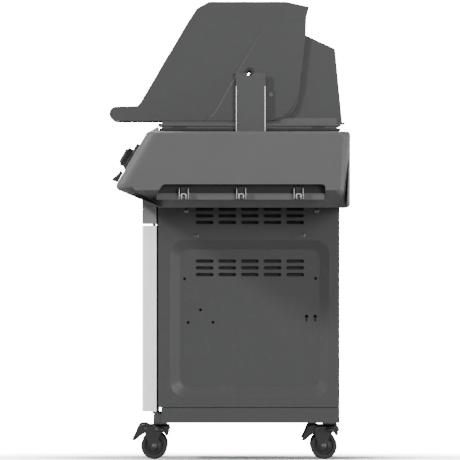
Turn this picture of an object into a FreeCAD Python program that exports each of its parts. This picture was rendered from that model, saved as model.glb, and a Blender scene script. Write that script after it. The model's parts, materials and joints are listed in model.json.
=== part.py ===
import FreeCAD, Part
import math
import os
import re
import Sketcher
from FreeCAD import Placement, Rotation, Vector

# Gas barbecue grill on a closed cart.  Millimetres, +Z up, +X to the right-hand shelf as the cook
# sees it, -Y towards the cook.  The origin is on the floor under the middle of the whole grill.

SIZES = {
    # sheet and fits
    "sheet": 1.5, "thick_sheet": 2, "running_gap": 0.05,
    # widths, from the middle plane
    "cart_half": 340, "firebox_half": 332, "housing_half": 330, "rim_half": 344, "lid_half": 336,
    "shelf_start": 342, "shelf_seam": 602, "shelf_bevel": 610, "shelf_end": 632,
    # levels of the cart
    "base_low": 91, "base_high": 129, "cart_low": 130, "cart_high": 825, "frame_high": 830,
    "rim_low": 836, "rim_high": 842, "wall_high": 856,
    # depths of the cart, front negative
    "cart_front": -179, "cart_rear": 276, "base_front": -171, "base_lip": -191,
    "rim_front": -178.75, "rim_rear": 278.75, "firebox_front": -170, "firebox_rear": 270,
    "flange": 20, "trim_low": 93, "trim_high": 114,
    # dished middle of each side panel
    "dish_front": -148.75, "dish_rear": 250, "dish_low": 156, "dish_high": 550, "dish_slope": 24,
    "dish_deep": 9, "dish_corner": 35,
    # vent slots in each side panel
    "slot_first": -62.5, "slot_pitch": 56.8, "slot_long": 44.5, "slot_wide": 8, "slot_columns": 5,
    "slot_upper": 594, "slot_lower": 463, "slot_rise": 16.9,
    # control panel, which the side shelves carry on in the same outline
    "panel_top_rear": -179.5, "panel_top_high": 834.5, "panel_top_front": -208.75, "panel_top_low": 817.5,
    "nose_front": -287.5, "nose_high": 679, "nose_round": 12, "under_front": -173.75, "shelf_low": 631,
    "shelf_high": 821, "shelf_top_front": -204, "shelf_rear": 301.25, "shelf_rear_round": 9,
    "panel_tilt": 60.379,
    # bevelled end of each shelf
    "end_front_inset": 24, "end_rear_inset": 20, "end_top_inset": 8, "end_low": 674,
    "recess_front": -191, "recess_rear": 239, "recess_low": 651, "recess_high": 689, "recess_back": 606,
    "recess_front_top": -166,
    "hook_first": -114, "hook_pitch": 143.25, "hook_wide": 26,
    # front apron and doors
    "door_front": -219, "door_rear": -183, "door_low": 120, "door_high": 586, "apron_low": 590,
    "apron_high_front": 649.9, "apron_high_rear": 634.7, "door_gap": 1.5, "door_half": 338.5,
    "door_pin_x": 331, "door_pin_y": -190, "door_pin_radius": 3,
    "pull_inner": 40, "pull_outer": 150, "pull_low": 538, "pull_high": 568, "pull_deep": 20,
    # lid
    "pivot_y": 103.75, "pivot_z": 915, "pivot_radius": 4, "lid_low": 848.5, "lid_top": 1147.75,
    "arm_front": -301.25, "arm_high": 884.3, "arm_round": 17.6, "arm_radius": 17.9,
    "brow_y": -231, "brow_z": 886, "front_low_y": -222.5, "front_low_z": 896,
    "front_high_y": -103.75, "front_high_z": 1097.5, "crown_y": -81.75, "crown_z": 1130.75,
    "top_front_y": -51.75, "top_rear_y": 142, "rear_y": 200, "rear_z": 1135, "lip_y": 192.75, "lip_z": 1109,
    "back_y": 191.25, "back_z": 1062.5, "back_low_y": 174.25, "back_low_z": 921.75, "heel_y": 165.2,
    "heel_round": 62, "skin_inset": 3, "front_tilt": 59.55, "dial_y": -160.74, "dial_z": 995, "handle_y": -283.35, "handle_z": 866.4, "handle_radius": 15,
    # pressed step on the lid's sides
    "step_high": 1101, "step_top_y": 97.5, "step_mid_y": 24, "step_mid_z": 977.5, "step_low_y": -21,
    "step_low_z": 895, "step_foot_y": -64, "step_proud": 2,
    # spit port and its bracket
    "spit_y": 50, "spit_z": 971.25, "spit_radius": 9.4, "slot_sweep": 109, "bracket_front": 16.25, "bracket_rear": 90,
    "bracket_high": 970, "bracket_web": 352, "bracket_in": 344, "bracket_low": 775, "flange_high": 936,
    # fixed rear housing
    "housing_front": 140, "housing_peak": 1087.5, "housing_rear": 264.75, "housing_high": 1029.5,
    "housing_low_y": 282, "housing_low_z": 853, "housing_foot": 290.5, "housing_base": 842.2,
    # inside the firebox
    "chute_half": 60, "chute_low": 655, "slope_high": 700, "burner_z": 742, "burner_pitch": 205,
    "burner_radius": 12.5, "burner_bore": 11, "burner_front": -184, "tent_low": 776, "tent_high": 802,
    "tent_half": 62, "grate_low": 814, "grate_high": 826, "ledge_wide": 12, "rack_low": 932,
    "rack_high": 938, "rack_front": 12, "rack_rear": 176,
    # grease tray
    "tray_half": 184, "tray_low": 608.3, "tray_high": 636, "tray_front": -150, "tray_rear": 262,
    "runner_low": 606, "runner_web": 186, "baffle_web": 318, "baffle_low": 336, "baffle_high": 652,
    # gas train and knobs, set out along the knob's own axis
    "knob_y": -246.6, "knob_z": 751, "knob_radius": 24.5, "knob_low": 6.6, "knob_high": 21,
    "stem_radius": 3, "valve_radius": 11, "valve_long": 32, "manifold_down": 48, "manifold_radius": 8,
    "inlet_x": 268, "inlet_y": -140, "inlet_z": 660, "inlet_long": 20, "inlet_radius": 9.5, "bezel_long": 75, "bezel_wide": 58,
    "bezel_thick": 3, "bezel_shift": 7, "brow_thick": 5.5, "brow_low": 27,
    # casters
    "caster_x": 298, "caster_front": -174, "caster_rear": 252, "trail": 15.25, "wheel_radius": 33,
    "wheel_half": 12, "hub_half": 15, "axle_radius": 4.5, "cheek_in": 16, "cheek_out": 19.5,
    "crown_low": 70, "crown_high": 82, "crown_radius": 22, "plate_low": 88, "stem_high": 92.8,
    "lever_y": 34, "lever_z": 76, "lever_pin": 2.5, "lever_half": 15.5,
}

doc = FreeCAD.newDocument("Grill")
sheet = doc.addObject("Spreadsheet::Sheet", "Sizes")
for row, (name, size) in enumerate(SIZES.items(), start=1):
    sheet.set(f"A{row}", name)
    sheet.set(f"B{row}", str(size))
    sheet.setAlias(f"B{row}", name)
doc.recompute()

WORD = re.compile(r"[A-Za-z_]+")
parts = []


def bound(formula):
    """The formula with every name of the sheet written as a reference to its cell."""
    return WORD.sub(lambda word: "Sizes." + word.group() if word.group() in SIZES else word.group(), str(formula))


def value(formula):
    return float(sheet.evalExpression(bound(formula)))


def bind(thing, **formulas):
    for prop, formula in formulas.items():
        thing.setExpression(prop, bound(formula))


def keep(thing, label):
    """Mark an object as one of the grill's pieces, under the name of its file."""
    thing.Label = label
    parts.append(thing)
    return thing


def body(label):
    made = doc.addObject("PartDesign::Body", label)
    return keep(made, label)


def place(thing, x="0", y="0", z="0", tilt=None):
    if tilt is not None:
        thing.Placement = Placement(Vector(), Rotation(Vector(1, 0, 0), value(tilt)))
        thing.setExpression("Placement.Rotation.Angle", bound(tilt) + " * 1 deg")
    for axis, formula in zip("xyz", (x, y, z)):
        thing.setExpression("Placement.Base." + axis, bound(formula))


def sketch(owner, plane, away="0"):
    """An empty sketch on one of the body's own planes, moved along the plane's normal."""
    made = owner.newObject("Sketcher::SketchObject", owner.Name + "_sketch")
    origin = next(part for part in owner.Origin.OriginFeatures if part.Role == plane + "_Plane")
    made.AttachmentSupport = [(origin, "")]
    made.MapMode = "FlatFace"
    made.setExpression("AttachmentOffset.Base.z", bound(away))
    return made


def tilted_sketch(owner, y, z, tilt):
    """An empty sketch through a point of the middle plane, facing forwards and up."""
    made = sketch(owner, "XY")
    made.AttachmentOffset = Placement(Vector(), Rotation(Vector(1, 0, 0), value(tilt)))
    made.setExpression("AttachmentOffset.Rotation.Angle", bound(tilt) + " * 1 deg")
    made.setExpression("AttachmentOffset.Base.y", bound(y))
    made.setExpression("AttachmentOffset.Base.z", bound(z))
    return made


def pin_point(drawing, curve, point, x, y):
    for kind, formula in (("DistanceX", x), ("DistanceY", y)):
        where = drawing.addConstraint(Sketcher.Constraint(kind, -1, 1, curve, point, value(formula)))
        drawing.setExpression(f"Constraints[{where}]", bound(formula))


def polygon(drawing, corners):
    """A closed outline through the corners, each a pair of formulas."""
    points = [Vector(value(x), value(y), 0) for x, y in corners]
    first = drawing.GeometryCount
    for here, there in zip(points, points[1:] + points[:1]):
        drawing.addGeometry(Part.LineSegment(here, there))
    count = len(corners)
    for step, (x, y) in enumerate(corners):
        drawing.addConstraint(Sketcher.Constraint("Coincident", first + step, 2, first + (step + 1) % count, 1))
        pin_point(drawing, first + step, 1, x, y)


def rectangle(drawing, left, low, right, high):
    polygon(drawing, [(left, low), (right, low), (right, high), (left, high)])


def rounded_rectangle(drawing, left, low, right, high, radius):
    """A rectangle whose corners are arcs of one radius."""
    size = value(radius)
    middles = [(f"{right} - {radius}", f"{low} + {radius}"), (f"{right} - {radius}", f"{high} - {radius}"),
               (f"{left} + {radius}", f"{high} - {radius}"), (f"{left} + {radius}", f"{low} + {radius}")]
    arcs = []
    for corner, (x, y) in enumerate(middles):
        start = (corner - 1) * math.pi / 2
        ring = Part.Circle(Vector(value(x), value(y), 0), Vector(0, 0, 1), size)
        arcs.append(drawing.addGeometry(Part.ArcOfCircle(ring, start, start + math.pi / 2)))
    for one, other in zip(arcs, arcs[1:] + arcs[:1]):
        side = drawing.addGeometry(Part.LineSegment(drawing.getPoint(one, 2), drawing.getPoint(other, 1)))
        drawing.addConstraint(Sketcher.Constraint("Tangent", one, 2, side, 1))
        drawing.addConstraint(Sketcher.Constraint("Tangent", side, 2, other, 1))
    for arc, (x, y) in zip(arcs, middles):
        pin_point(drawing, arc, 3, x, y)
        where = drawing.addConstraint(Sketcher.Constraint("Radius", arc, size))
        drawing.setExpression(f"Constraints[{where}]", bound(radius))


def circle(drawing, x, y, radius):
    where = drawing.addGeometry(Part.Circle(Vector(value(x), value(y), 0), Vector(0, 0, 1), value(radius)))
    pin_point(drawing, where, 3, x, y)
    size = drawing.addConstraint(Sketcher.Constraint("Radius", where, value(radius)))
    drawing.setExpression(f"Constraints[{size}]", bound(radius))


def slot(drawing, x, y, length, width):
    """A round-ended slot along the sketch's first axis, about its middle."""
    middle, height, reach, radius = value(x), value(y), (value(length) - value(width)) / 2, value(width) / 2
    up, down = Vector(0, radius, 0), Vector(0, -radius, 0)
    ends = [Vector(middle - reach, height, 0), Vector(middle + reach, height, 0)]
    left = drawing.addGeometry(Part.ArcOfCircle(Part.Circle(ends[0], Vector(0, 0, 1), radius), 1.5708, 4.7124))
    right = drawing.addGeometry(Part.ArcOfCircle(Part.Circle(ends[1], Vector(0, 0, 1), radius), -1.5708, 1.5708))
    low = drawing.addGeometry(Part.LineSegment(ends[0] + down, ends[1] + down))
    high = drawing.addGeometry(Part.LineSegment(ends[1] + up, ends[0] + up))
    for one, end, other, start in ((left, 2, low, 1), (low, 2, right, 1), (right, 2, high, 1), (high, 2, left, 1)):
        drawing.addConstraint(Sketcher.Constraint("Tangent", one, end, other, start))
    pin_point(drawing, left, 3, f"{x} - ({length} - {width}) / 2", y)
    pin_point(drawing, right, 3, f"{x} + ({length} - {width}) / 2", y)
    size = drawing.addConstraint(Sketcher.Constraint("Radius", left, radius))
    drawing.setExpression(f"Constraints[{size}]", bound(f"{width} / 2"))


def settle(owner, feature):
    """Recompute, and stop at once if the new feature has failed."""
    owner.Tip = feature
    doc.recompute()
    if "Invalid" in feature.State or feature.Shape.isNull() or not feature.Shape.isValid():
        raise ValueError(f"{owner.Label}: {feature.Name} failed, {feature.State}")
    return feature


def add(owner, drawing, length, middle=False, back=False):
    pad = owner.newObject("PartDesign::Pad", owner.Name + "_pad")
    pad.Profile = drawing
    pad.Midplane = middle
    pad.Reversed = back
    bind(pad, Length=length)
    return settle(owner, pad)


def cut(owner, drawing, depth):
    """Remove the outline to the given depth on both sides of its sketch."""
    before = owner.Shape.Volume
    pocket = owner.newObject("PartDesign::Pocket", owner.Name + "_pocket")
    pocket.Profile = drawing
    pocket.Midplane = True
    bind(pocket, Length=f"2 * ({depth})")
    settle(owner, pocket)
    if owner.Shape.Volume > before - 0.5:
        raise ValueError(f"{owner.Label}: a pocket removed nothing")
    return pocket


def loft(owner, kind, profile, section):
    """Add or remove the straight-sided form between two outlines."""
    made = owner.newObject(f"PartDesign::{kind}Loft", owner.Name + "_loft")
    made.Profile = profile
    made.Sections = [section]
    made.Ruled = True
    return settle(owner, made)


def repeat(owner, feature, drawing, axis, length, count):
    """A row of one feature along an axis of its sketch."""
    pattern = owner.newObject("PartDesign::LinearPattern", owner.Name + "_row")
    pattern.Originals = [feature]
    pattern.Direction = (drawing, [axis])
    bind(pattern, Length=length, Occurrences=count)
    return settle(owner, pattern)


def matching_edges(owner, points, axes):
    """Names of the straight edges that run through the given points of a cross-section."""
    names = []
    for number, edge in enumerate(owner.Shape.Edges, start=1):
        ends = [vertex.Point for vertex in edge.Vertexes]
        if len(ends) < 2:
            continue
        for point in points:
            targets = [value(formula) for formula in point]
            near = [abs(end[axis] - target) < 0.05 for end in ends for axis, target in zip(axes, targets)]
            if all(near):
                names.append(f"Edge{number}")
                break
    return names


def round_corners(owner, points, radius, axes=(1, 2)):
    """Round the edges that stand on the given corners of the body's cross-section."""
    base = owner.Tip
    edges = matching_edges(owner, points, axes)
    fillet = owner.newObject("PartDesign::Fillet", owner.Name + "_round")
    fillet.Base = (base, edges)
    bind(fillet, Radius=radius)
    return settle(owner, fillet)


def hollow(owner, is_open, thickness="sheet"):
    """Leave a sheet of the given thickness inside the faces, with the chosen faces taken off."""
    before = owner.Shape.BoundBox
    opened = []
    for number, face in enumerate(owner.Shape.Faces, start=1):
        middle = face.CenterOfMass
        along, across = face.Surface.parameter(middle)
        if is_open(face.normalAt(along, across), middle):
            opened.append(f"Face{number}")
    base = owner.Tip
    shell = owner.newObject("PartDesign::Thickness", owner.Name + "_shell")
    shell.Base = (base, opened)
    shell.Join = 1
    shell.Reversed = True
    bind(shell, Value=thickness)
    settle(owner, shell)
    after = owner.Shape.BoundBox
    if after.XLength > before.XLength + 0.01 or after.YLength > before.YLength + 0.01:
        raise ValueError(f"{owner.Label}: the sheet grew outwards")
    return shell


def cylinder(name, radius, length, axis):
    made = doc.addObject("Part::Cylinder", name)
    turn = {"x": Rotation(Vector(0, 1, 0), 90), "y": Rotation(Vector(1, 0, 0), -90), "z": Rotation()}[axis]
    made.Placement = Placement(Vector(), turn)
    bind(made, Radius=radius, Height=length)
    return made


def join(name, members):
    made = doc.addObject("Part::MultiFuse", name)
    made.Shapes = members
    return made


def together(label, members):
    """Identical pieces that share one file as separate solids."""
    made = doc.addObject("Part::Compound", label)
    made.Links = members
    return keep(made, label)


def mirrored(source, label):
    """The same piece for the other side of the middle plane."""
    made = doc.addObject("Part::Mirroring", label)
    made.Source = source
    made.Normal = Vector(1, 0, 0)
    return keep(made, label)


def faces_x(normal, sign):
    return normal.x * sign > 0.9


# ---------------------------------------------------------------- cart

def base_pan():
    """Open tray that the cart stands on, with a lip under the front trim and a hole for each stem."""
    pan = body("base_pan")
    floor = sketch(pan, "XY", "base_low")
    rectangle(floor, "-cart_half", "base_front", "cart_half", "cart_rear")
    add(pan, floor, "base_high - base_low")
    hollow(pan, lambda normal, middle: normal.z > 0.9, "thick_sheet")
    lip = sketch(pan, "XY", "base_low")
    rectangle(lip, "-cart_half", "base_lip", "cart_half", "base_front + 1")
    add(pan, lip, "thick_sheet")
    holes = sketch(pan, "XY", "base_low - 1")
    for side in ("-", ""):
        for depth in ("caster_front", "caster_rear"):
            circle(holes, side + "caster_x", depth, "axle_radius + 4")
    cut(pan, holes, "thick_sheet + 2")


def base_front_trim():
    trim = body("base_front_trim")
    face = sketch(trim, "YZ")
    rectangle(face, "base_lip", "trim_low", "base_front", "trim_high")
    add(trim, face, "2 * cart_half - 4", middle=True)
    round_corners(trim, [("base_lip", "trim_high")], "5")
    hollow(trim, lambda normal, middle: normal.y > 0.9)


def cart_side():
    """Side panel with inward flanges, a dished middle, vent slots, spare holes and keyholes."""
    panel = body("cart_side_right")
    plate = sketch(panel, "XY", "cart_low")
    rectangle(plate, "cart_half - sheet", "cart_front", "cart_half", "cart_rear")
    add(panel, plate, "cart_high - cart_low")
    for near, far in (("cart_front", "cart_front + sheet"), ("cart_rear - sheet", "cart_rear")):
        flange = sketch(panel, "XY", "cart_low")
        rectangle(flange, "cart_half - flange", near, "cart_half - sheet / 2", far)
        add(panel, flange, "cart_high - cart_low")
    for kind, skin in (("Additive", "cart_half - sheet"), ("Subtractive", "cart_half")):
        brim = sketch(panel, "YZ", f"{skin} + 0.1")
        rounded_rectangle(brim, "dish_front", "dish_low", "dish_rear", "dish_high", "dish_corner")
        floor = sketch(panel, "YZ", f"{skin} - dish_deep")
        rounded_rectangle(floor, "dish_front + dish_slope", "dish_low + dish_slope", "dish_rear - dish_slope",
                          "dish_high - dish_slope", "(dish_corner - 13)")
        loft(panel, kind, brim, floor)
    vents = sketch(panel, "YZ", "cart_half + 1")
    for lowest in ("slot_upper", "slot_lower"):
        for step in range(3):
            slot(vents, "slot_first", f"{lowest} + {step} * slot_rise", "slot_long", "slot_wide")
    first = cut(panel, vents, "dish_deep + sheet + 2")
    repeat(panel, first, vents, "H_Axis", "slot_pitch * (slot_columns - 1)", "slot_columns")
    holes = sketch(panel, "YZ", "cart_half + 1")
    spare = ((-112.75, 452.75), (-72.75, 374.75), (-103.75, 343), (-41.25, 343.5), (216, 453.5))
    for depth, height in spare:
        circle(holes, depth, height, "3.5")
    for depth in (193.25, 214.75):
        circle(holes, depth, "358", "4.5")
        rectangle(holes, f"{depth} - 1.8", "346.5", f"{depth} + 1.8", "352.2")
    cut(panel, holes, "dish_deep + sheet + 2")
    return panel


def cart_back():
    """Back of the cabinet, with two rows of vents; the tray slides out above it."""
    panel = body("cart_back")
    plate = sketch(panel, "XZ", "-cart_rear + sheet")
    rectangle(plate, "-cart_half + sheet", "cart_low", "cart_half - sheet", "apron_low")
    add(panel, plate, "sheet")
    vents = sketch(panel, "XZ", "-cart_rear")
    for height in ("500", "517", "534"):
        slot(vents, "-230", height, "60", "slot_wide")
    first = cut(panel, vents, "5")
    repeat(panel, first, vents, "H_Axis", "460", "6")


def front_apron():
    apron = body("front_apron")
    face = sketch(apron, "YZ")
    polygon(face, [("door_front", "apron_low"), ("door_front", "apron_high_front"),
                   ("door_rear", "apron_high_rear"), ("door_rear", "apron_low")])
    add(apron, face, "2 * door_half", middle=True)
    hollow(apron, lambda normal, middle: normal.y > 0.9)


def top_frame():
    """Ring on top of the cart that the firebox hangs in, with a raised pad at each corner."""
    ring = body("top_frame")
    face = sketch(ring, "XY", "cart_high")
    rectangle(face, "-rim_half", "rim_front + 3", "rim_half", "rim_rear")
    rectangle(face, "-firebox_half - 1", "firebox_front - 1", "firebox_half + 1", "firebox_rear + 1")
    add(ring, face, "frame_high - cart_high")
    pads = sketch(ring, "XY", "cart_high + 1")
    for near, far in (("-rim_half + 2", "-firebox_half - 2"), ("firebox_half + 2", "rim_half - 2")):
        rectangle(pads, near, "-140", far, "-110")
        rectangle(pads, near, "210", far, "240")
    add(ring, pads, "rim_low - cart_high - 1")


def doors():
    """Pan-shaped door with a sunk pull near its free edge; the pins stand in the cart."""
    door = body("door_right")
    face = sketch(door, "XY", "door_low")
    rectangle(face, "door_gap", "door_front", "door_half", "door_rear")
    add(door, face, "door_high - door_low")
    edges = [("door_gap", "door_front"), ("door_half", "door_front")]
    round_corners(door, edges, "5", axes=(0, 1))
    hollow(door, lambda normal, middle: normal.y > 0.9)
    cup = sketch(door, "XZ", "-door_front - sheet / 2")
    rectangle(cup, "pull_inner - sheet", "pull_low - sheet", "pull_outer + sheet", "pull_high + sheet")
    add(door, cup, "pull_deep - sheet / 2", back=True)
    hand = sketch(door, "XZ", "-door_front + 1")
    rectangle(hand, "pull_inner", "pull_low", "pull_outer", "pull_high")
    cut(door, hand, "pull_deep - sheet + 1")
    lugs = sketch(door, "XY", "door_low + 0.5")
    rectangle(lugs, "door_pin_x - 7", "door_pin_y - 7", "door_half - sheet / 2", "door_pin_y + 6")
    add(door, lugs, "6")
    upper = sketch(door, "XY", "door_high - 6.5")
    rectangle(upper, "door_pin_x - 7", "door_pin_y - 7", "door_half - sheet / 2", "door_pin_y + 6")
    add(door, upper, "6")
    bores = sketch(door, "XY", "door_low - 1")
    circle(bores, "door_pin_x", "door_pin_y", "door_pin_radius + running_gap")
    cut(door, bores, "door_high - door_low + 2")
    return door


def door_hinge_pins():
    """Four short pins: two stand on the trim's brackets, two hang from the apron's foot."""
    pins = []
    for number, side in enumerate(("-", ""), start=1):
        lower = cylinder(f"lower_pin_{number}", "door_pin_radius", "14", "z")
        place(lower, side + "door_pin_x", "door_pin_y", "door_low - 6")
        plate = doc.addObject("Part::Box", f"pin_foot_{number}")
        bind(plate, Length="18", Width="door_pin_y + 7 - cart_front + 22", Height="3")
        place(plate, side + "door_pin_x - 9", "door_pin_y - 7", "door_low - 6")
        upper = cylinder(f"upper_pin_{number}", "door_pin_radius", "apron_low - door_high + 8", "z")
        place(upper, side + "door_pin_x", "door_pin_y", "door_high - 8")
        pins += [join(f"door_foot_{number}", [lower, plate]), upper]
    return together("door_hinge_pins", pins)


# ---------------------------------------------------------------- firebox and burners

def firebox():
    """Trough with a sloping floor that drains through a chute, a rim, and two pairs of ledges."""
    box = body("firebox")
    section = sketch(box, "XZ", "-firebox_front")
    polygon(section, [("-firebox_half", "wall_high"), ("-firebox_half", "slope_high"), ("-chute_half", "chute_low"),
                      ("chute_half", "chute_low"), ("firebox_half", "slope_high"), ("firebox_half", "wall_high")])
    add(box, section, "firebox_rear - firebox_front", back=True)
    hollow(box, lambda normal, middle: abs(normal.z) > 0.995)
    rim = sketch(box, "XY", "rim_low")
    rectangle(rim, "-rim_half", "rim_front", "rim_half", "rim_rear")
    rectangle(rim, "-firebox_half + sheet / 2", "firebox_front + sheet / 2", "firebox_half - sheet / 2",
              "firebox_rear - sheet / 2")
    add(box, rim, "rim_high - rim_low")
    for level in ("tent_low - 2", "grate_low - 2"):
        ledges = sketch(box, "XY", level)
        rectangle(ledges, "-firebox_half + 1", "firebox_front + sheet / 2", "firebox_half - 1",
                  "firebox_front + sheet + ledge_wide")
        rectangle(ledges, "-firebox_half + 1", "firebox_rear - sheet - ledge_wide", "firebox_half - 1",
                  "firebox_rear - sheet / 2")
        add(box, ledges, "2")
    step = sketch(box, "XY", "rim_high")
    rectangle(step, "-firebox_half + 1", "firebox_rear - 3", "firebox_half - 1", "firebox_rear + 1")
    cut(box, step, "wall_high - rim_high + 1")
    mouths = sketch(box, "XZ", "-firebox_front + 2")
    for step in (-1, 0, 1):
        circle(mouths, f"{step} * burner_pitch", "burner_z", "burner_radius + 0.3")
    cut(box, mouths, "8")


def burners():
    """Three closed tubes, each with a flared mouth in front of the firebox."""
    made = []
    for number, step in enumerate((-1, 0, 1), start=1):
        tube = doc.addObject("PartDesign::Body", f"burner_{number}")
        outside = sketch(tube, "XZ", "-burner_front")
        circle(outside, "0", "0", "burner_radius")
        add(tube, outside, "firebox_rear - sheet - burner_front", back=True)
        inside = sketch(tube, "XZ", "-burner_front + 1")
        circle(inside, "0", "0", "burner_bore")
        cut(tube, inside, "firebox_rear - burner_front - 10")
        windows = sketch(tube, "XY", "burner_radius + 1")
        rectangle(windows, "-5", "burner_front + 4", "5", "burner_front + 11")
        cut(tube, windows, "burner_radius")
        place(tube, f"{step} * burner_pitch", "0", "burner_z")
        made.append(tube)
    return together("burners", made)


def heat_tents():
    """Folded covers that keep drips off the burners."""
    made = []
    for number, step in enumerate((-1, 0, 1), start=1):
        tent = doc.addObject("PartDesign::Body", f"tent_{number}")
        fold = sketch(tent, "XZ", "-firebox_front - sheet - 1")
        polygon(fold, [("-tent_half", "tent_low"), ("0", "tent_high - sheet"), ("tent_half", "tent_low"),
                       ("tent_half", "tent_low + sheet"), ("0", "tent_high"), ("-tent_half", "tent_low + sheet")])
        add(tent, fold, "firebox_rear - firebox_front - 2 * sheet - 2", back=True)
        place(tent, f"{step} * burner_pitch")
        made.append(tent)
    return together("heat_tents", made)


def cooking_grate():
    """Half of the cooking surface: a rim, bars from front to back and two cross bars."""
    grate = body("cooking_grate_right")
    plate = sketch(grate, "XY", "grate_low")
    rectangle(plate, "2", "firebox_front + sheet + 1", "firebox_half - sheet - 1", "firebox_rear - sheet - 1")
    add(grate, plate, "grate_high - grate_low")
    gaps = sketch(grate, "XY", "grate_low - 1")
    for near, far in (("-157", "-22"), ("-12", "118"), ("128", "257")):
        rectangle(gaps, "11", near, "21", far)
    first = cut(grate, gaps, "grate_high - grate_low + 2")
    repeat(grate, first, gaps, "H_Axis", "17.7 * 17", "18")
    return grate


def warming_rack():
    """Upper rack that hooks on the rear housing's cheeks."""
    rack = body("warming_rack")
    plate = sketch(rack, "XY", "rack_low")
    rectangle(plate, "-housing_half + 6", "rack_front", "housing_half - 6", "rack_rear")
    add(rack, plate, "rack_high - rack_low")
    gaps = sketch(rack, "XY", "rack_low - 1")
    for near, far in (("rack_front + 6", "88"), ("94", "rack_rear - 6")):
        rectangle(gaps, "-housing_half + 14", near, "-housing_half + 28", far)
    first = cut(rack, gaps, "rack_high - rack_low + 2")
    repeat(rack, first, gaps, "H_Axis", "20.6 * 30", "31")


def rear_housing():
    """Fixed hood behind the lid, open below and in front, with a foot and rear vents."""
    hood = body("rear_housing")
    profile = sketch(hood, "YZ")
    polygon(profile, [("housing_front", "housing_base"), ("housing_front", "housing_peak"),
                      ("housing_rear", "housing_high"), ("housing_low_y", "housing_low_z"),
                      ("housing_low_y + 1", "housing_base")])
    add(hood, profile, "2 * housing_half", middle=True)
    round_corners(hood, [("housing_rear", "housing_high")], "10")
    hollow(hood, lambda normal, middle: normal.y < -0.9 or normal.z < -0.9)
    foot = sketch(hood, "YZ")
    rectangle(foot, "housing_low_y - 8", "housing_base", "housing_foot", "housing_base + 2.5")
    add(hood, foot, "2 * housing_half - 20", middle=True)
    for side in ("-1", "1"):
        rest = sketch(hood, "XY", "rack_low - 4")
        rectangle(rest, f"{side} * (housing_half - 0.7)", "housing_front", f"{side} * (housing_half - 14)", "rack_rear")
        add(hood, rest, "3.9")
    vents = sketch(hood, "XZ", "-housing_low_y - 10")
    for height in ("960", "985"):
        slot(vents, "-240", height, "80", "12")
    first = cut(hood, vents, "60")
    repeat(hood, first, vents, "H_Axis", "480", "5")


def tray_runners():
    runners = []
    for side in ("right", "left"):
        sign = "1" if side == "right" else "-1"
        runner = doc.addObject("PartDesign::Body", f"runner_{side}")
        section = sketch(runner, "XZ", "-tray_front")
        web, low = "runner_web", "runner_low"
        corners = [(f"{web} - 14", low), (f"{web} + 2", low), (f"{web} + 2", "672"), (f"{web} + 18", "672"),
                   (f"{web} + 18", "674"), (web, "674"), (web, f"{low} + 2"), (f"{web} - 14", f"{low} + 2")]
        polygon(section, [(f"{sign} * ({x})", z) for x, z in corners])
        add(runner, section, "tray_rear - tray_front - 4", back=True)
        runners.append(runner)
    return together("tray_runners", runners)


def vent_baffles():
    """Upright plate behind the vents and holes of each side panel, hung from a flange on the panel."""
    made = []
    for side, sign in (("right", "1"), ("left", "-1")):
        baffle = doc.addObject("PartDesign::Body", f"baffle_{side}")
        section = sketch(baffle, "XZ", "122")
        corners = [("baffle_web", "baffle_low"), ("baffle_web + sheet", "baffle_low"),
                   ("baffle_web + sheet", "baffle_high - sheet"), ("cart_half - sheet", "baffle_high - sheet"),
                   ("cart_half - sheet", "baffle_high"), ("baffle_web", "baffle_high")]
        polygon(section, [(f"{sign} * ({x})", z) for x, z in corners])
        add(baffle, section, "356", back=True)
        made.append(baffle)
    return together("vent_baffles", made)


def door_seals():
    """Rubber strip down the front of each side panel, which the door closes against."""
    made = []
    for side, sign in (("right", "1"), ("left", "-1")):
        strip = doc.addObject("PartDesign::Body", f"seal_{side}")
        face = sketch(strip, "XY", "cart_low + 1")
        rectangle(face, f"{sign} * (cart_half - 22)", "door_rear + 0.2", f"{sign} * (cart_half - 17.5)", "cart_front")
        add(strip, face, "shelf_low - cart_low - 2")
        made.append(strip)
    return together("door_seals", made)


def grease_tray():
    tray = body("grease_tray")
    floor = sketch(tray, "XY", "tray_low")
    rectangle(floor, "-tray_half", "tray_front", "tray_half", "tray_rear")
    add(tray, floor, "tray_high - tray_low")
    hollow(tray, lambda normal, middle: normal.z > 0.9)
    pull = sketch(tray, "XY", "tray_high - 3")
    rectangle(pull, "-60", "tray_rear - sheet / 2", "60", "tray_rear + 16")
    add(tray, pull, "3")


# ---------------------------------------------------------------- control panel and gas train

def control_panel():
    """Hollow panel along the front, open at the back, with a hole for each valve stem."""
    panel = body("control_panel")
    section = sketch(panel, "YZ")
    polygon(section, [("panel_top_rear", "panel_top_high"), ("panel_top_front", "panel_top_low"),
                      ("nose_front", "nose_high"), ("panel_top_rear", "shelf_low + 2.5")])
    add(panel, section, "2 * cart_half", middle=True)
    round_corners(panel, [("nose_front", "nose_high")], "nose_round")
    round_corners(panel, [("panel_top_front", "panel_top_low")], "6")
    hollow(panel, lambda normal, middle: normal.y > 0.9)
    holes = tilted_sketch(panel, "knob_y", "knob_z", "panel_tilt")
    for step in (-1, 0, 1):
        circle(holes, f"{step} * burner_pitch", "0", "stem_radius + 2")
    cut(panel, holes, "(12) / 2")
    return panel


def on_panel(thing, step):
    place(thing, f"{step} * burner_pitch", "knob_y", "knob_z", tilt="panel_tilt")


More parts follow.
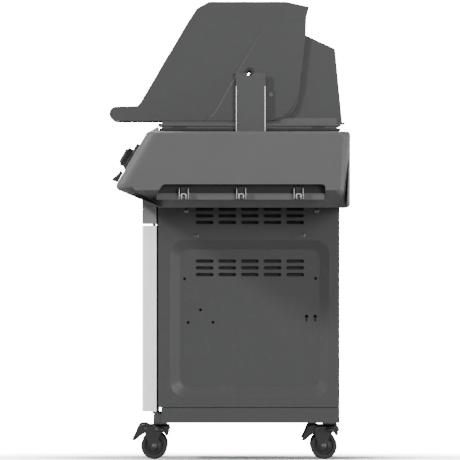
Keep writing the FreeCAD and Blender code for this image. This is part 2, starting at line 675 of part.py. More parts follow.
def knob_bezels():
    """Rounded plate behind each knob, with a raised brow on the panel above it."""
    made = []
    for number, step in enumerate((-1, 0, 1), start=1):
        bezel = doc.addObject("PartDesign::Body", f"bezel_{number}")
        face = sketch(bezel, "XY")
        low, high = "bezel_shift - bezel_long / 2", "bezel_shift + bezel_long / 2"
        rectangle(face, "-bezel_wide / 2", low, "bezel_wide / 2", high)
        circle(face, "0", "0", "stem_radius + 2")
        add(bezel, face, "bezel_thick")
        round_corners(bezel, [(f"{side} * bezel_wide / 2", edge) for side in ("-1", "1") for edge in (low, high)],
                      "20", axes=(0, 1))
        brow = doc.addObject("PartDesign::Body", f"brow_{number}")
        hump = sketch(brow, "XY", "bezel_thick")
        polygon(hump, [("-bezel_wide / 2 + 1", "brow_low"), ("-bezel_wide / 2 + 14", high + " - 1"),
                       ("bezel_wide / 2 - 14", high + " - 1"), ("bezel_wide / 2 - 1", "brow_low")])
        add(brow, hump, "brow_thick")
        for piece in (bezel, brow):
            on_panel(piece, step)
            made.append(piece)
    return together("knob_bezels", made)


def valves():
    """Taper valve under each stem: a block, a nipple to the manifold and a jet into the burner."""
    made = []
    for number, step in enumerate((-1, 0, 1), start=1):
        valve = doc.addObject("PartDesign::Body", f"valve_{number}")
        block = sketch(valve, "XY", "-valve_long")
        circle(block, "0", "0", "valve_radius")
        add(valve, block, "valve_long - 2.2")
        nipple = sketch(valve, "XY", "manifold_radius - manifold_down")
        circle(nipple, "0", "0", "5")
        add(valve, nipple, "manifold_down - manifold_radius - valve_long + 4")
        bore = sketch(valve, "XY", "-1")
        circle(bore, "0", "0", "stem_radius + running_gap")
        cut(valve, bore, "20")
        on_panel(valve, step)
        jet = cylinder(f"jet_{number}", "3.5", "36", "y")
        place(jet, f"{step} * burner_pitch", "-217", "burner_z")
        made.append(join(f"valve_with_jet_{number}", [valve, jet]))
    return together("valves", made)


def manifold():
    """Gas rail behind the panel; a leg takes it down and back to the inlet thread under the firebox."""
    depth = "knob_y + manifold_down * sin(panel_tilt * 1 deg)"
    height = "knob_z - manifold_down * cos(panel_tilt * 1 deg)"
    rail = cylinder("rail", "manifold_radius", "inlet_x + burner_pitch + 30", "x")
    place(rail, "-burner_pitch - 30", depth, height)
    leg = cylinder("leg", "manifold_radius", f"{height} - inlet_z", "z")
    place(leg, "inlet_x", depth, "inlet_z")
    run = cylinder("run", "manifold_radius", f"inlet_y - ({depth})", "y")
    place(run, "inlet_x", depth, "inlet_z")
    elbows = []
    for number, level in enumerate((height, "inlet_z"), start=1):
        elbow = doc.addObject("Part::Sphere", f"elbow_{number}")
        bind(elbow, Radius="manifold_radius + 1.5")
        place(elbow, "inlet_x", depth, level)
        elbows.append(elbow)
    thread = cylinder("thread", "inlet_radius", "inlet_long", "y")
    place(thread, "inlet_x", "inlet_y", "inlet_z")
    solid = join("manifold_solid", [rail, leg, run, thread] + elbows)
    bore = cylinder("inlet_bore", "manifold_radius - 3", "60", "y")
    place(bore, "inlet_x", "inlet_y + inlet_long - 59", "inlet_z")
    made = doc.addObject("Part::Cut", "manifold")
    made.Base, made.Tool = solid, bore
    return keep(made, "manifold")


def stem(number, step):
    """Valve stem with a flat that drives the knob."""
    shaft = body(f"valve_stem_{number}")
    face = sketch(shaft, "XY", "-19")
    circle(face, "0", "0", "stem_radius")
    add(shaft, face, "34.5")
    flat = sketch(shaft, "XY", "5")
    rectangle(flat, "-5", "1.8", "5", "5")
    cut(shaft, flat, "12")
    on_panel(shaft, step)


def knob(number, step):
    """Fluted knob with a raised grip bar and a socket for the stem's flat."""
    turned = body(f"knob_{number}")
    skirt = sketch(turned, "XY", "knob_low")
    circle(skirt, "0", "0", "knob_radius")
    add(turned, skirt, "knob_high - knob_low - 3")
    top = sketch(turned, "XY", "knob_high - 3.1")
    circle(top, "0", "0", "knob_radius - 2.5")
    add(turned, top, "3.1")
    flute = sketch(turned, "XY", "knob_low - 1")
    circle(flute, "knob_radius + 1.2", "0", "2")
    first = cut(turned, flute, "knob_high - knob_low - 1")
    pattern = turned.newObject("PartDesign::PolarPattern", turned.Name + "_flutes")
    pattern.Originals = [first]
    pattern.Axis = (flute, ["N_Axis"])
    pattern.Angle = 360
    pattern.Occurrences = 28
    settle(turned, pattern)
    socket = sketch(turned, "XY", "knob_low - 1")
    circle(socket, "0", "0", "stem_radius + 0.1")
    cut(turned, socket, "13")
    on_panel(turned, step)


# ---------------------------------------------------------------- side shelves

SHELF_OUTLINE = [("shelf_top_front", "shelf_high"), ("shelf_rear", "shelf_high"), ("shelf_rear - 7.5", "shelf_low"),
                 ("under_front", "shelf_low"), ("nose_front", "nose_high")]


def shelf():
    """Deep folded shelf, open below and towards its end cap."""
    tray = body("shelf_right")
    section = sketch(tray, "YZ", "shelf_start")
    polygon(section, SHELF_OUTLINE)
    add(tray, section, "shelf_seam - shelf_start")
    round_corners(tray, [SHELF_OUTLINE[4]], "nose_round")
    round_corners(tray, [SHELF_OUTLINE[0], SHELF_OUTLINE[1]], "shelf_rear_round")
    hollow(tray, lambda normal, middle: faces_x(normal, 1) or normal.z < -0.98, "thick_sheet")
    notch = sketch(tray, "XY", "shelf_high + 1")
    rectangle(notch, "bracket_in", "bracket_front - 0.5", "bracket_web + thick_sheet + 0.5", "bracket_rear + 0.5")
    cut(tray, notch, "thick_sheet + 2")
    return tray


def shelf_end():
    """Moulded end of the shelf with wide bevels, a recess for tool hooks and a hollow behind."""
    cap = body("shelf_end_right")
    root = sketch(cap, "YZ", "shelf_seam")
    polygon(root, SHELF_OUTLINE)
    add(cap, root, "shelf_bevel - shelf_seam")
    large = sketch(cap, "YZ", "shelf_bevel")
    polygon(large, SHELF_OUTLINE)
    small = sketch(cap, "YZ", "shelf_end")
    polygon(small, [("shelf_top_front + 0.62 * end_front_inset", "shelf_high - end_top_inset"),
                    ("shelf_rear - end_rear_inset", "shelf_high - end_top_inset"),
                    ("shelf_rear - end_rear_inset - 4", "end_low"),
                    ("nose_front + 36", "end_low"),
                    ("nose_front + 1.15 * end_front_inset", "nose_high + 9")])
    loft(cap, "Additive", large, small)
    recess = sketch(cap, "YZ", "shelf_end + 1")
    polygon(recess, [("recess_front", "recess_low"), ("recess_rear", "recess_low"), ("recess_rear", "recess_high"),
                     ("recess_front_top", "recess_high")])
    cut(cap, recess, "shelf_end + 1 - recess_back")
    back = sketch(cap, "YZ", "shelf_seam - 1")
    polygon(back, [("-190", "808"), ("290", "808"), ("288", "702"), ("-248", "702")])
    cut(cap, back, "shelf_bevel - shelf_seam + 15")
    return cap


def hook_rail():
    """Three tool hooks in the recess."""
    hooks = []
    for number in range(3):
        hook = doc.addObject("PartDesign::Body", f"hook_{number + 1}")
        bend = sketch(hook, "XZ")
        polygon(bend, [("recess_back", "685"), ("recess_back", "669"), ("recess_back + 4", "669"),
                       ("recess_back + 8", "659"), ("shelf_end - 8", "659"), ("shelf_end - 4", "666"),
                       ("shelf_end - 7", "668"), ("shelf_end - 10", "663"), ("recess_back + 10", "663"),
                       ("recess_back + 7", "671"), ("recess_back + 3", "685")])
        add(hook, bend, "hook_wide", middle=True)
        place(hook, "0", f"hook_first + {number} * hook_pitch")
        hooks.append(hook)
    return together("hook_rail_right", hooks)


def bottle_opener():
    """Cast claw on the slanted front of the right-hand shelf."""
    claw = body("bottle_opener")
    section = sketch(claw, "YZ", "520")
    polygon(section, [("-279.2", "694.5"), ("-266.5", "717.3"), ("-271.5", "725"), ("-276", "717"), ("-294", "701"),
                      ("-289", "697")])
    add(claw, section, "44")
    mouth = sketch(claw, "XY", "690")
    rectangle(mouth, "530", "-300", "554", "-284")
    cut(claw, mouth, "40")


# ---------------------------------------------------------------- lid

LID_OUTLINE = [("arm_front", "lid_low"), ("arm_front", "arm_high"), ("brow_y", "brow_z"),
               ("front_low_y", "front_low_z"), ("front_high_y", "front_high_z"), ("crown_y", "crown_z"),
               ("top_front_y", "lid_top"), ("top_rear_y", "lid_top"), ("rear_y", "rear_z"), ("lip_y", "lip_z"),
               ("back_y", "back_z"), ("back_low_y", "back_low_z"), ("heel_y", "lid_low")]


def meet(drawing, curve, point, other):
    """Join an end of one curve to the nearer end of another."""
    here = drawing.getPoint(curve, point)
    ends = [(drawing.getPoint(other, end) - here).Length for end in (1, 2)]
    nearer = 1 if ends[0] < ends[1] else 2
    drawing.addConstraint(Sketcher.Constraint("Coincident", curve, point, other, nearer))


def spit_slot(drawing):
    """Arc-shaped slot about the pivot, so that the lid swings past a spit that stays put."""
    upright = Vector(0, 0, 1)
    middle = Vector(value("pivot_y"), value("pivot_z"), 0)
    reach = Vector(value("spit_y"), value("spit_z"), 0) - middle
    radius = value("spit_radius")
    near, far = reach.Length - radius, reach.Length + radius
    start = math.atan2(reach.y, reach.x)
    end = start + math.radians(value("slot_sweep"))
    head = Rotation(upright, math.degrees(start))
    tail = Rotation(upright, math.degrees(end))
    inner = drawing.addGeometry(Part.ArcOfCircle(Part.Circle(middle, upright, near), start, end))
    outer = drawing.addGeometry(Part.ArcOfCircle(Part.Circle(middle, upright, far), start, end))
    cap = drawing.addGeometry(Part.Arc(middle + head.multVec(Vector(near, 0, 0)),
                                       middle + head.multVec(Vector(reach.Length, -radius, 0)),
                                       middle + head.multVec(Vector(far, 0, 0))))
    mouth = drawing.addGeometry(Part.LineSegment(middle + tail.multVec(Vector(near, 0, 0)),
                                                 middle + tail.multVec(Vector(far, 0, 0))))
    for curve in (inner, outer):
        meet(drawing, curve, 1, cap)
        meet(drawing, curve, 2, mouth)
        pin_point(drawing, curve, 3, "pivot_y", "pivot_z")
    pin_point(drawing, cap, 3, "spit_y", "spit_z")
    size = drawing.addConstraint(Sketcher.Constraint("Radius", cap, radius))
    drawing.setExpression(f"Constraints[{size}]", bound("spit_radius"))


def lid_side():
    """End plate of the lid: its forward arm holds the handle, and a pressed step follows the back."""
    plate = body("lid_side_right")
    face = sketch(plate, "YZ", "lid_half")
    polygon(face, LID_OUTLINE)
    add(plate, face, "thick_sheet")
    round_corners(plate, [("arm_front", "lid_low"), ("arm_front", "arm_high")], "arm_round")
    round_corners(plate, [("heel_y", "lid_low")], "heel_round")
    round_corners(plate, [("crown_y", "crown_z"), ("top_front_y", "lid_top")], "14")
    step = sketch(plate, "YZ", "lid_half + 1")
    polygon(step, [("step_top_y", "step_high"), ("step_mid_y", "step_mid_z"), ("step_low_y", "step_low_z"),
                   ("step_low_y - 18", "step_low_z - 29"), ("step_foot_y", "lid_low"), ("heel_y - 61", "lid_low"),
                   ("heel_y - 28", "lid_low + 11"), ("heel_y - 5", "lid_low + 36"), ("back_low_y", "back_low_z"),
                   ("back_y", "back_z"), ("lip_y - 1.2", "step_high")])
    add(plate, step, "thick_sheet - 1 + step_proud")
    port = sketch(plate, "YZ", "lid_half - 1")
    spit_slot(port)
    cut(plate, port, "8")
    pivot = sketch(plate, "YZ", "lid_half - 1")
    circle(pivot, "pivot_y", "pivot_z", "pivot_radius + running_gap")
    cut(plate, pivot, "8")
    return plate


def lid_skin():
    """Folded front and top of the lid, set a little inside the end plates."""
    skin = body("lid_skin")
    section = sketch(skin, "YZ")
    polygon(section, [("front_low_y + 18", "lid_low + 2.5"), ("front_low_y + 2.4", "front_low_z - 2"),
                      ("front_high_y + 2.6", "front_high_z - 1.5"), ("crown_y + 2.2", "crown_z - 2"),
                      ("top_front_y + 1", "lid_top - skin_inset"), ("top_rear_y", "lid_top - skin_inset"),
                      ("rear_y - skin_inset", "rear_z - 2.5"), ("lip_y - 2.5", "lip_z")])
    add(skin, section, "2 * lid_half", middle=True)
    hollow(skin, lambda normal, middle: abs(normal.x) > 0.9 or (normal.z < -0.5 and normal.y > 0.3))
    hole = tilted_sketch(skin, "dial_y", "dial_z", "front_tilt")
    circle(hole, "0", "0", "24")
    cut(skin, hole, "10")


def lid_handle_bar():
    """Tube between the arms of the end plates."""
    bar = body("lid_handle_bar")
    ring = sketch(bar, "YZ")
    circle(ring, "handle_y", "handle_z", "handle_radius")
    add(bar, ring, "2 * lid_half", middle=True)
    bore = sketch(bar, "YZ")
    circle(bore, "handle_y", "handle_z", "handle_radius - 2")
    cut(bar, bore, "(2 * lid_half + 2) / 2")


def lid_thermometer():
    """Dial set in the lid's slanted front, with its probe inside."""
    dial = body("lid_thermometer")
    cup = sketch(dial, "XY", "-14")
    circle(cup, "0", "0", "23.7")
    add(dial, cup, "14.5")
    face = sketch(dial, "XY", "0.05")
    circle(face, "0", "0", "28")
    add(dial, face, "1.8")
    probe = sketch(dial, "XY", "-62")
    circle(probe, "0", "0", "3.5")
    add(dial, probe, "50")
    place(dial, "0", "dial_y", "dial_z", tilt="front_tilt")


def hinge_ears():
    """L-shaped ear on each side of the firebox rim that carries the lid's pin."""
    ears = []
    for side, sign in (("right", "1"), ("left", "-1")):
        ear = doc.addObject("PartDesign::Body", f"ear_{side}")
        section = sketch(ear, "XZ", "-pivot_y - 27")
        corners = [("firebox_half", "rim_high"), ("rim_half", "rim_high"), ("rim_half", "rim_high + 2.4"),
                   ("firebox_half + 2.4", "rim_high + 2.4"), ("firebox_half + 2.4", "pivot_z + 22"),
                   ("firebox_half", "pivot_z + 22")]
        polygon(section, [(f"{sign} * ({x})", z) for x, z in corners])
        add(ear, section, "54")
        hole = sketch(ear, "YZ", f"{sign} * (firebox_half + 1)")
        circle(hole, "pivot_y", "pivot_z", "pivot_radius")
        cut(ear, hole, "(10) / 2")
        ears.append(ear)
    return together("hinge_ears", ears)


def lid_pivot_pins():
    """Headed pin through each ear and end plate."""
    pins = []
    for side, sign in (("right", "1"), ("left", "-1")):
        shank = cylinder(f"pin_shank_{side}", "pivot_radius", "9.5", "x")
        place(shank, "firebox_half - 1" if side == "right" else "-firebox_half - 8.5", "pivot_y", "pivot_z")
        head = cylinder(f"pin_head_{side}", "pivot_radius + 1.6", "1.4", "x")
        place(head, "lid_half + 4.4" if side == "right" else "-lid_half - 5.8", "pivot_y", "pivot_z")
        pins.append(join(f"pin_{side}", [shank, head]))
    return together("lid_pivot_pins", pins)


def spit_bracket():
    """Upright with flanges turned in towards the hood and a round notch for the spit.

    It stands in a notch of the shelf's top, against the shelf's inner wall."""
    stand = body("spit_bracket_right")
    web = sketch(stand, "YZ", "bracket_web")
    rectangle(web, "bracket_front", "bracket_low", "bracket_rear", "bracket_high")
    add(stand, web, "thick_sheet")
    for near, far in (("bracket_front", "bracket_front + thick_sheet"), ("bracket_rear - thick_sheet", "bracket_rear")):
        flange = sketch(stand, "XY", "bracket_low")
        rectangle(flange, "bracket_in", near, "bracket_web + 1", far)
        add(stand, flange, "flange_high - bracket_low")
    foot = sketch(stand, "XY", "bracket_low")
    rectangle(foot, "bracket_in", "bracket_front + 1", "bracket_web + 1", "bracket_rear - 1")
    add(stand, foot, "thick_sheet")
    notch = sketch(stand, "YZ", "bracket_web - 1")
    circle(notch, "spit_y", "spit_z", "spit_radius")
    cut(stand, notch, "6")
    return stand


# ---------------------------------------------------------------- fasteners and casters

def panel_screws():
    """Screw and bolt heads on both side panels."""
    heads = []
    spots = ((-82.75, 560, 5, 2), (185, 561, 5, 2), (-108, 623.5, 6.5, 3.5), (219, 623.5, 6.5, 3.5))
    for number, (depth, height, radius, proud) in enumerate(spots, start=1):
        for side in ("right", "left"):
            head = cylinder(f"head_{side}_{number}", str(radius), str(proud), "x")
            start = "cart_half" if side == "right" else f"-cart_half - {proud}"
            place(head, start, str(depth), str(height))
            heads.append(head)
    return together("panel_screws", heads)


CORNERS = [(f"{end}_{side}", sign + "caster_x", "caster_" + end)
           for end in ("front", "rear") for side, sign in (("right", ""), ("left", "-"))]


def caster_plates():
    made = []
    for name, x, y in CORNERS:
        plate = doc.addObject("PartDesign::Body", f"plate_{name}")
        face = sketch(plate, "XY", "plate_low")
        rectangle(face, "-30", "-17", "30", "17")
        circle(face, "0", "0", "axle_radius + 0.5 + running_gap")
        add(plate, face, "base_low - plate_low")
        place(plate, x, y)
        made.append(plate)
    return together("caster_plates", made)


def caster_fork(name, x, y):
    """Swivel fork: stem, crown, two cheeks, the wheel's axle and the lever's pin."""
    fork = body(f"caster_fork_{name}")
    crown = sketch(fork, "XY", "crown_low")
    circle(crown, "0", "0", "crown_radius")
    add(fork, crown, "crown_high - crown_low")
    collar = sketch(fork, "XY", "crown_high - 1")
    circle(collar, "0", "0", "16")
    add(fork, collar, "plate_low - crown_high + 0.8")
    stem_top = sketch(fork, "XY", "plate_low - 1")
    circle(stem_top, "0", "0", "axle_radius + 0.5")
    add(fork, stem_top, "stem_high - plate_low + 1")
    for sign in ("1", "-1"):
        cheek = sketch(fork, "YZ", f"{sign} * (cheek_in + cheek_out) / 2")
        polygon(cheek, [("19", "crown_high"), ("21", "62"), ("15", "58"), ("9", "68"), ("-1", "60"),
                        ("-trail + 8", "27"), ("-trail", "20"), ("-trail - 8", "22"), ("-trail - 15", "36"),
                        ("-lever_y - 5", "lever_z - 8"),
                        ("-lever_y - 6", "crown_high - 3"), ("-lever_y + 2", "crown_high")])
        add(fork, cheek, "cheek_out - cheek_in", middle=True)
    bridge = sketch(fork, "XY", "crown_low")
    rectangle(bridge, "-cheek_out", "-21", "cheek_out", "12")
    add(fork, bridge, "crown_high - crown_low")
    pins = sketch(fork, "YZ")
    circle(pins, "-trail", "wheel_radius", "axle_radius")
    circle(pins, "-lever_y", "lever_z", "lever_pin")
    add(fork, pins, "2 * cheek_out + 3", middle=True)
    place(fork, x, y)


def caster_wheel(name, x, y):
    wheel = body(f"caster_wheel_{name}")
    tread = sketch(wheel, "YZ")
    circle(tread, "0", "0", "wheel_radius")
    add(wheel, tread, "2 * wheel_half", middle=True)
    edges = [f"Edge{number}" for number, edge in enumerate(wheel.Shape.Edges, start=1) if len(edge.Vertexes) == 1]
    base = wheel.Tip
    softened = wheel.newObject("PartDesign::Fillet", wheel.Name + "_tread")
    softened.Base = (base, edges)
    bind(softened, Radius="4")
    settle(wheel, softened)
    hub = sketch(wheel, "YZ")
    circle(hub, "0", "0", "10")
    add(wheel, hub, "2 * hub_half", middle=True)
    for sign in ("1", "-1"):
        dish = sketch(wheel, "YZ", f"{sign} * (wheel_half - 1)")
        circle(dish, "0", "0", "24")
        circle(dish, "0", "0", "10.5")
        cut(wheel, dish, "(6) / 2")
    bore = sketch(wheel, "YZ")
    circle(bore, "0", "0", "axle_radius + running_gap")
    cut(wheel, bore, "(2 * hub_half + 2) / 2")
    place(wheel, x, f"{y} - trail", "wheel_radius")


def brake_lever(name, x, y):
    """Pedal in front of the wheel, on the fork's upper pin."""
    lever = body(f"brake_lever_{name}")
    side = sketch(lever, "YZ")
    polygon(side, [("-27", "73"), ("-27", "81.5"), ("-38", "86.8"), ("-48", "86"), ("-56", "82.5"), ("-64", "62"),
                   ("-71.5", "48"), ("-64", "46.5"), ("-58", "51"), ("-50", "58.5"), ("-42", "63"), ("-36", "66.5")])
    circle(side, "-lever_y", "lever_z", "lever_pin + running_gap")
    add(lever, side, "2 * lever_half", middle=True)
    place(lever, x, y)


# ---------------------------------------------------------------- everything

base_pan()
base_front_trim()
mirrored(cart_side(), "cart_side_left")
cart_back()
front_apron()
top_frame()
mirrored(doors(), "door_left")
door_hinge_pins()
firebox()
burners()
heat_tents()
mirrored(cooking_grate(), "cooking_grate_left")
warming_rack()
rear_housing()
tray_runners()
vent_baffles()
door_seals()
grease_tray()
control_panel()
knob_bezels()
valves()
manifold()
for count, spacing in enumerate((-1, 0, 1), start=1):
    stem(count, spacing)
    knob(count, spacing)
mirrored(shelf(), "shelf_left")
mirrored(shelf_end(), "shelf_end_left")
mirrored(hook_rail(), "hook_rail_left")
bottle_opener()
mirrored(lid_side(), "lid_side_left")
lid_skin()
lid_handle_bar()
lid_thermometer()
hinge_ears()
lid_pivot_pins()
mirrored(spit_bracket(), "spit_bracket_left")
panel_screws()
caster_plates()
for corner in CORNERS:
    caster_fork(*corner)
    caster_wheel(*corner)
    brake_lever(*corner)

doc.recompute()
for thing in doc.Objects:
    if "Invalid" in thing.State or "Error" in thing.State:
        raise ValueError(f"{thing.Label} failed: {thing.State}")
for piece in parts:
    if piece.Shape.isNull() or not piece.Shape.isValid() or not piece.Shape.Solids:
        raise ValueError(f"{piece.Label} has no valid solid")

os.makedirs("parts", exist_ok=True)
for piece in parts:
    piece.Shape.exportStep(f"parts/{piece.Label}.step")
print(len(parts), "pieces")
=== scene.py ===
"""Gas barbecue grill: the finishes and the finer pieces around its frame."""
import json
import math

import bmesh
import bpy
from mathutils import Matrix, Vector

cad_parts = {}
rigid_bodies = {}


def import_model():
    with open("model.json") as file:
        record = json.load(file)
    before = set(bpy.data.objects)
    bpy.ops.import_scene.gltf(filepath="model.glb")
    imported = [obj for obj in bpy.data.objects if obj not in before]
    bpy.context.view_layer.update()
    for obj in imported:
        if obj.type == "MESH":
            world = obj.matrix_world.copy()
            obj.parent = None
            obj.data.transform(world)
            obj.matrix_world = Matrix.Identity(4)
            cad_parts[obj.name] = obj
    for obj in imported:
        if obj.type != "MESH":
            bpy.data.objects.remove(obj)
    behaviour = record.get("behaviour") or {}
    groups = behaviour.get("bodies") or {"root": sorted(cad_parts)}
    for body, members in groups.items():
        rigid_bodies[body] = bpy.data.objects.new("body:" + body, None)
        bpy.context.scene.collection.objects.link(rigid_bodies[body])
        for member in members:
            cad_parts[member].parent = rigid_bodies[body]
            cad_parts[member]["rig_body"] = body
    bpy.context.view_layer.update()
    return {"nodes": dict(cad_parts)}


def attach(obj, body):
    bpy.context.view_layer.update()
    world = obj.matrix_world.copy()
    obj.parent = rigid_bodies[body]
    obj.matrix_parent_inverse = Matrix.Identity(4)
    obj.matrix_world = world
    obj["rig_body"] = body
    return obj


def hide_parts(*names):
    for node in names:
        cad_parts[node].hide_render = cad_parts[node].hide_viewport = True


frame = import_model()
MM = 0.001
SIDES = (("right", 1), ("left", -1))


# ------------------------------------------------------------------ finishes

class Reading:
    """A value that varies over a surface. Sums on it add their own nodes."""

    def __init__(self, recipe, socket):
        self.recipe = recipe
        self.socket = socket

    def reckon(self, operation, first, second):
        return self.recipe.node("ShaderNodeMath", {"operation": operation}, {0: first, 1: second})

    def __add__(self, other):
        return self.reckon("ADD", self, other)

    def __radd__(self, other):
        return self.reckon("ADD", other, self)

    def __sub__(self, other):
        return self.reckon("SUBTRACT", self, other)

    def __rsub__(self, other):
        return self.reckon("SUBTRACT", other, self)

    def __mul__(self, other):
        return self.reckon("MULTIPLY", self, other)

    def __rmul__(self, other):
        return self.reckon("MULTIPLY", other, self)

    def __gt__(self, other):
        return self.reckon("GREATER_THAN", self, other)


class Recipe:
    """One finish, for one of the record's slots: a Principled shader and what varies it."""

    def __init__(self, slot, **steady):
        self.slot = slot
        self.material = bpy.data.materials.new(slot)
        self.material.use_nodes = True
        tree = self.material.node_tree
        self.nodes = tree.nodes
        self.links = tree.links
        self.shader = next(node for node in tree.nodes if node.type == "BSDF_PRINCIPLED")
        self.feed(self.shader, {name.replace("_", " "): value for name, value in steady.items()})

    def feed(self, node, sockets):
        """Link readings to a node's sockets, and set the other values there."""
        for name, value in sockets.items():
            if isinstance(value, Reading):
                self.links.new(value.socket, node.inputs[name])
            else:
                node.inputs[name].default_value = value

    def node(self, kind, settings=None, sockets=None, out=0):
        """A new node, read at the output named."""
        made = self.nodes.new(kind)
        for name, value in (settings or {}).items():
            setattr(made, name, value)
        self.feed(made, sockets or {})
        return Reading(self, made.outputs[out])

    def spot(self, stretch=(1, 1, 1)):
        """Place on the piece, in metres, drawn out along each axis."""
        place = self.node("ShaderNodeTexCoord", out="Object")
        return self.node("ShaderNodeMapping", {}, {"Vector": place, "Scale": stretch})

    def grain(self, size, stretch=(1, 1, 1), detail=3.0):
        """Cloudy noise between 0 and 1 whose clouds are about size metres."""
        return self.node("ShaderNodeTexNoise", {}, {"Vector": self.spot(stretch), "Scale": 1 / size,
                                                    "Detail": detail, "Roughness": 0.55}, "Fac")

    def cells(self, size, feature="F1"):
        """Distance to the nearest of many scattered points, about size metres apart."""
        return self.node("ShaderNodeTexVoronoi", {"feature": feature},
                         {"Vector": self.spot(), "Scale": 1 / size}, "Distance")

    def spread(self, reading, low, high):
        """The reading held between two levels and spread over 0 to 1."""
        limits = {"Value": reading, "From Min": low, "From Max": high}
        return self.node("ShaderNodeMapRange", {}, limits, "Result")

    def tint(self, amount, first, second):
        """A colour that goes from the first to the second as the amount rises to 1."""
        return self.node("ShaderNodeMix", {"data_type": "RGBA"}, {0: amount, 6: first, 7: second}, 2)

    def coat(self, colour, roughness, relief=None, depth=0.0001, strength=1.0):
        """Set the shader's colour and roughness, and raise the relief by depth metres."""
        self.feed(self.shader, {"Base Color": colour, "Roughness": roughness})
        if relief is not None:
            rise = {"Height": relief, "Distance": depth, "Strength": strength}
            bump = self.node("ShaderNodeBump", {}, rise)
            self.feed(self.shader, {"Normal": bump})
        return self


def shade(level, warm=0.0):
    """A grey of that linear level, a little warm or cool."""
    return (level * (1 + warm), level, level * (1 - warm), 1.0)


def powder_coat(slot, level, roughness=0.42, peel=0.0009, warm=-0.01):
    """Baked paint with metal flake: orange peel, faint clouds and a little dust."""
    paint = Recipe(slot, Metallic=0.05, Specular_IOR_Level=0.25)
    clouds = paint.grain(0.09, detail=4)
    flake = paint.spread(paint.cells(0.0007), 0.12, 0.45)
    tone = paint.tint(clouds, shade(level * 0.96, warm), shade(level * 1.04, warm))
    speckled = paint.tint(flake * 0.22, tone, shade(level * 1.7, warm))
    dust = paint.spread(paint.grain(0.02, detail=6), 0.55, 0.8)
    dusted = paint.tint(dust * 0.015, speckled, shade(0.4, 0.03))
    return paint.coat(dusted, roughness + 0.08 * clouds + 0.06 * dust - 0.05 * flake,
                      paint.grain(peel, detail=2) + 0.25 * flake, 0.00006, 0.5)


def grained_moulding(slot, level, roughness=0.5, size=0.0011):
    """Moulded plastic with a leather-like grain of cells and a faint flow pattern."""
    plastic = Recipe(slot, Specular_IOR_Level=0.25)
    cells = plastic.spread(plastic.cells(size, "SMOOTH_F1"), 0.05, 0.6)
    flow = plastic.grain(0.07, (1, 0.5, 1), 3)
    tone = plastic.tint(flow, shade(level * 0.94), shade(level * 1.06))
    handled = plastic.spread(plastic.grain(0.03, detail=5), 0.5, 0.75)
    return plastic.coat(plastic.tint(cells * 0.18, tone, shade(level * 0.7)),
                        roughness + 0.07 * flow - 0.09 * handled + 0.05 * cells,
                        cells + 0.2 * plastic.grain(size * 0.4), 0.00009, 0.6)


def brushed_metal(slot, level, roughness, stretch, warm=0.0, cloud=0.05):
    """Metal brushed along the axis that stretch leaves small."""
    metal = Recipe(slot, Metallic=1.0)
    strokes = metal.grain(0.004, stretch, 4)
    fine = metal.grain(0.0012, stretch, 2)
    smear = metal.spread(metal.grain(cloud, detail=4), 0.35, 0.75)
    tone = metal.tint(strokes, shade(level * 0.86, warm), shade(min(level * 1.08, 0.95), warm))
    return metal.coat(tone, roughness + 0.16 * strokes + 0.07 * smear, strokes + 0.6 * fine, 0.00003, 0.5)


def plated(slot, level, roughness=0.16, warm=0.0):
    """Chrome or zinc plate: bright, with faint handling marks and a few pits."""
    metal = Recipe(slot, Metallic=1.0)
    marks = metal.spread(metal.grain(0.006, detail=6), 0.42, 0.75)
    pits = 1 - metal.spread(metal.cells(0.0016), 0.02, 0.12)
    tone = metal.tint(marks, shade(level, warm), shade(level * 0.8, warm))
    return metal.coat(metal.tint(pits * 0.4, tone, shade(level * 0.4)), roughness + 0.14 * marks + 0.2 * pits,
                      marks + pits, 0.00003, 0.4)


def cast_iron(slot):
    """Sand-cast iron, seasoned in patches."""
    iron = Recipe(slot, Metallic=0.35)
    sand = iron.grain(0.0012, detail=5)
    seasoned = iron.spread(iron.grain(0.025, detail=5), 0.4, 0.7)
    tone = iron.tint(seasoned, (0.022, 0.020, 0.019, 1), (0.045, 0.040, 0.036, 1))
    return iron.coat(tone, 0.62 - 0.22 * seasoned + 0.1 * sand, sand + iron.spread(iron.cells(0.002), 0, 0.5),
                     0.00025, 0.7)


def fired_enamel(slot, level):
    """Glass enamel over steel, glossy with fine ripples and tiny pits."""
    enamel = Recipe(slot, Coat_Weight=0.6, Coat_Roughness=0.12)
    ripple = enamel.grain(0.006, detail=3)
    pits = 1 - enamel.spread(enamel.cells(0.004), 0.01, 0.07)
    fleck = enamel.grain(0.0009, detail=2) > 0.66
    return enamel.coat(enamel.tint(fleck * 0.3, shade(level), shade(level * 5)),
                       0.3 + 0.15 * ripple + 0.3 * pits, ripple - pits, 0.0001, 0.5)


def rubber(slot, level):
    """Matt rubber with scuffs."""
    tyre = Recipe(slot, Specular_IOR_Level=0.2)
    scuff = tyre.spread(tyre.grain(0.008, detail=6), 0.45, 0.75)
    tone = tyre.tint(scuff, shade(level), shade(level * 1.45, 0.03))
    return tyre.coat(tone, 0.62 + 0.2 * scuff, tyre.grain(0.0014, detail=4), 0.00012, 0.6)


def heated_steel(slot):
    """Burner tube: straw and blue heat tint over brushed stainless."""
    tube = Recipe(slot, Metallic=1.0)
    heat = tube.spread(tube.grain(0.06, (1, 0.35, 1), 4), 0.3, 0.75)
    straw = tube.tint(heat, (0.62, 0.58, 0.53, 1), (0.46, 0.31, 0.17, 1))
    blued = tube.tint(tube.spread(heat, 0.55, 1.0), straw, (0.16, 0.19, 0.30, 1))
    brushed = tube.grain(0.002, (1, 0.05, 1), 3)
    return tube.coat(blued, 0.28 + 0.2 * brushed + 0.1 * heat, brushed, 0.00004, 0.5)


